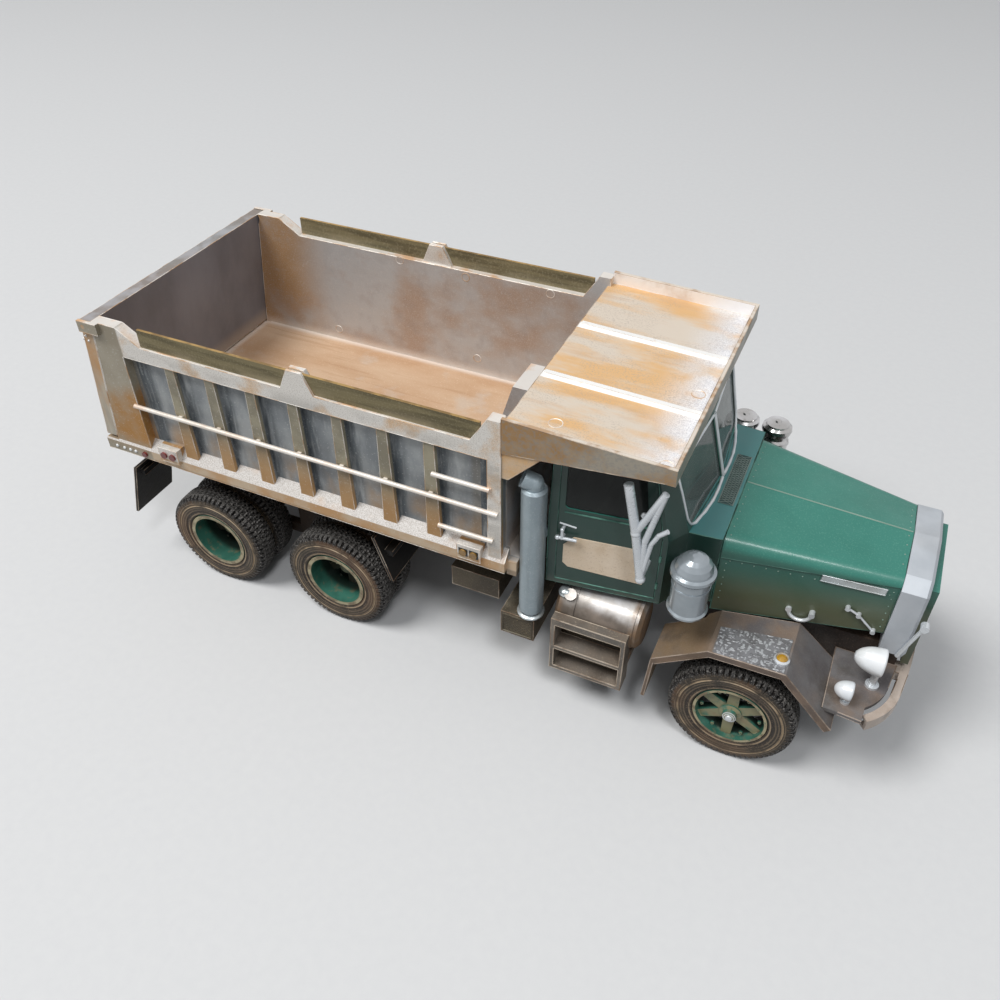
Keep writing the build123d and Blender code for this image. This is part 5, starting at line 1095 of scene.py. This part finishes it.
def tank_trim():
    """Filler cap and breather on each tank."""
    for side, word in SIDES:
        form = Form()
        spot, _ = lands("fuel_tanks", (36.0, side * 40.0, 60.0), (0, 0, -1))
        cap = [(-0.4, 2.3), (0.5, 2.3), (0.8, 1.9), (1.6, 1.8), (1.9, 1.4), (2.0, 0)]
        form.lathe(cap, spot, (0, side * 0.3, 1), 18)
        spot, _ = lands("fuel_tanks", (34.6, side * 35.0, 60.0), (0, 0, -1))
        form.lathe([(-0.4, 0.8), (0.9, 0.8), (1.4, 0.5), (1.5, 0)], spot, (0, 0, 1), 12)
        form.piece(f"tank_cap_{word}", "bright_trim")


# ---------------- dump body trim
def canopy_rings():
    """Faint round marks, as moulding leaves them, on the canopy's deck and the left wall's inside."""
    form = Form()
    for x, y in ((61.9, -5.5), (63.1, -42.3), (29.0, -38.1)):
        spot, normal = lands("canopy", (x, y, 130.0), (0, 0, -1))
        form.ring(spot, normal, 2.1, 0.16)
    form.piece("canopy_rings", "bed_edges", "bed")
    form = Form()
    for x, z in ((-5.9, 104.7), (-100.7, 67.3), (-36.0, 69.6), (-40.2, 104.1), (-68.4, 105.3)):
        form.ring((x, 44.6, z), (0, 1, 0), 1.6, 0.13)
    form.piece("wall_rings", "bed_edges", "bed")


def bed_trim():
    """Studs on the sills, dark surrounds of the front lamps, and bolts at the tailgate's corners."""
    for side, word in SIDES:
        form = Form()
        for x in (-139.1, -135.7, -132.9, -130.4):
            form.lathe([(-0.4, 0.6), (0.3, 0.6), (0.5, 0.4), (0.55, 0)], (x, side * 49.45, 59.2), (0, side, 0), 10)
        form.piece(f"sill_studs_{word}", "frame_silver", "bed")
        form = Form()
        y = side * 50.6
        for x in (4.25, 7.95):
            corners = [(x - 1.6, y, 60.8), (x + 1.6, y, 60.8), (x + 1.6, y, 63.9), (x - 1.6, y, 63.9)]
            form.slab(corners, 0.14, 0.04, side > 0)
        form.piece(f"lamp_surround_{word}", "black_plastic", "bed", smooth=False)
        form = Form()
        for x, z in ((-137.3, 108.1), (-137.3, 105.8), (-138.8, 104.3), (-136.6, 104.0)):
            form.hexagon((x, side * 48.7, z), (0, side, 0), 0.42, 0.35)
        form.piece(f"gate_bolts_{word}", "frame_silver", "tailgate")


def outer_edge(middle):
    """Keeps edges on the outside and upper parts, away from the hidden inside."""
    return abs(middle.y) > 44.0 or middle.z > 95.0


for build in (tyres, wheel_trim, hood_trim, cowl_vent, screen_frames, door_trim, fender_plates, battery_face,
              stack_foot, step_shade_plates, lamp_shells, tank_trim, canopy_rings, bed_trim):
    build()
# node, look, body, radius of the bars, shortest edge
for row in (("bed_sides", "bed_edges", "bed", 0.17, 5.0, outer_edge), ("canopy", "brown_edges", "bed", 0.16, 6.0),
            ("tailgate", "bed_edges", "tailgate", 0.16, 6.0), ("fenders", "fender_edges", "chassis", 0.17, 6.0),
            ("mud_flaps", "brown_edges", "chassis", 0.14, 6.0), ("bumper", "fender_edges", "chassis", 0.18, 6.0),
            ("steps", "brown_edges", "chassis", 0.2, 5.0), ("side_boxes", "brown_edges", "chassis", 0.16, 6.0),
            ("hood", "green_edges", "chassis", 0.14, 8.0), ("cab_shell", "green_edges", "chassis", 0.14, 8.0)):
    worn_and_highlit_edges(*row)

# ---------------- camera, light, floor
# place, aim, roll in degrees and focal length, solved from points of the photo
EYE = (102.79, -238.25, 267.08)
TARGET = (-3.728, -4.599, 45.153)
ROLL = -0.092
LENS = 33.154
camera_data = bpy.data.cameras.new("camera")
camera = placed("camera", camera_data)
eye = Vector(EYE) * MM
target = Vector(TARGET) * MM
aim = (target - eye).to_track_quat("-Z", "Y").to_matrix().to_4x4()
camera.matrix_world = Matrix.Translation(eye) @ aim @ Matrix.Rotation(math.radians(ROLL), 4, "Z")
camera_data.sensor_width = 36.0
camera_data.lens = LENS
camera_data.clip_start = 0.01
camera_data.clip_end = 20.0
bpy.context.scene.camera = camera


def soft_light(name, spot, aim_at, size, power, colour=(1, 1, 1)):
    data = bpy.data.lights.new(name, "AREA")
    data.shape = "DISK"
    data.size = size
    data.energy = power
    data.color = colour
    light = placed(name, data)
    light.location = Vector(spot)
    light.rotation_euler = (Vector(aim_at) - Vector(spot)).to_track_quat("-Z", "Y").to_euler()


soft_light("key", (-1.0, -1.0, 2.43), (0, 0, 0.05), 1.25, 56.0, (1.0, 0.99, 0.97))
soft_light("front", (0.80, -1.13, 2.3), (0.08, 0, 0.05), 0.55, 19.0, (0.98, 0.99, 1.0))


def seen_directly(tree):
    """1 for rays from the camera, in mirrors and through glass; 0 for light falling on the object."""
    ray = tree.nodes.new("ShaderNodeLightPath")
    total = ray.outputs["Is Camera Ray"]
    for name in ("Is Glossy Ray", "Is Transmission Ray"):
        more = tree.nodes.new("ShaderNodeMath")
        more.operation = "MAXIMUM"
        tree.links.new(total, more.inputs[0])
        tree.links.new(ray.outputs[name], more.inputs[1])
        total = more.outputs[0]
    return total


world = bpy.data.worlds.new("studio")
bpy.context.scene.world = world
world.use_nodes = True
tree = world.node_tree
sky = tree.nodes["Background"]
sky.inputs["Color"].default_value = (0.86, 0.88, 0.9, 1)
sky.inputs["Strength"].default_value = 0.30
white = tree.nodes.new("ShaderNodeBackground")
white.inputs["Color"].default_value = (0.93, 0.93, 0.94, 1)
white.inputs["Strength"].default_value = 0.85
choice = tree.nodes.new("ShaderNodeMixShader")
tree.links.new(seen_directly(tree), choice.inputs[0])
tree.links.new(sky.outputs[0], choice.inputs[1])
tree.links.new(white.outputs[0], choice.inputs[2])
tree.links.new(choice.outputs[0], tree.nodes["World Output"].inputs[0])
bpy.context.scene.view_settings.view_transform = "Standard"


def studio_floor():
    form = bmesh.new()
    half = 4.0
    for x, y in ((-half, -half), (half, -half), (half, half), (-half, half)):
        form.verts.new((x, y, 0.0))
    form.faces.new(form.verts[:])
    data = bpy.data.meshes.new("studio_floor")
    form.to_mesh(data)
    form.free()
    floor = placed("studio_floor", data)
    look = Look("floor_paper")
    grain = look.noise(300, 3)
    pale = look.mix(grain, (210, 211, 213), (216, 217, 218))
    colour = look.mix(seen_directly(look.tree), (104, 103, 102), pale)
    data.materials.append(look.done(colour, 0.85, grain, 0.00002))


studio_floor()
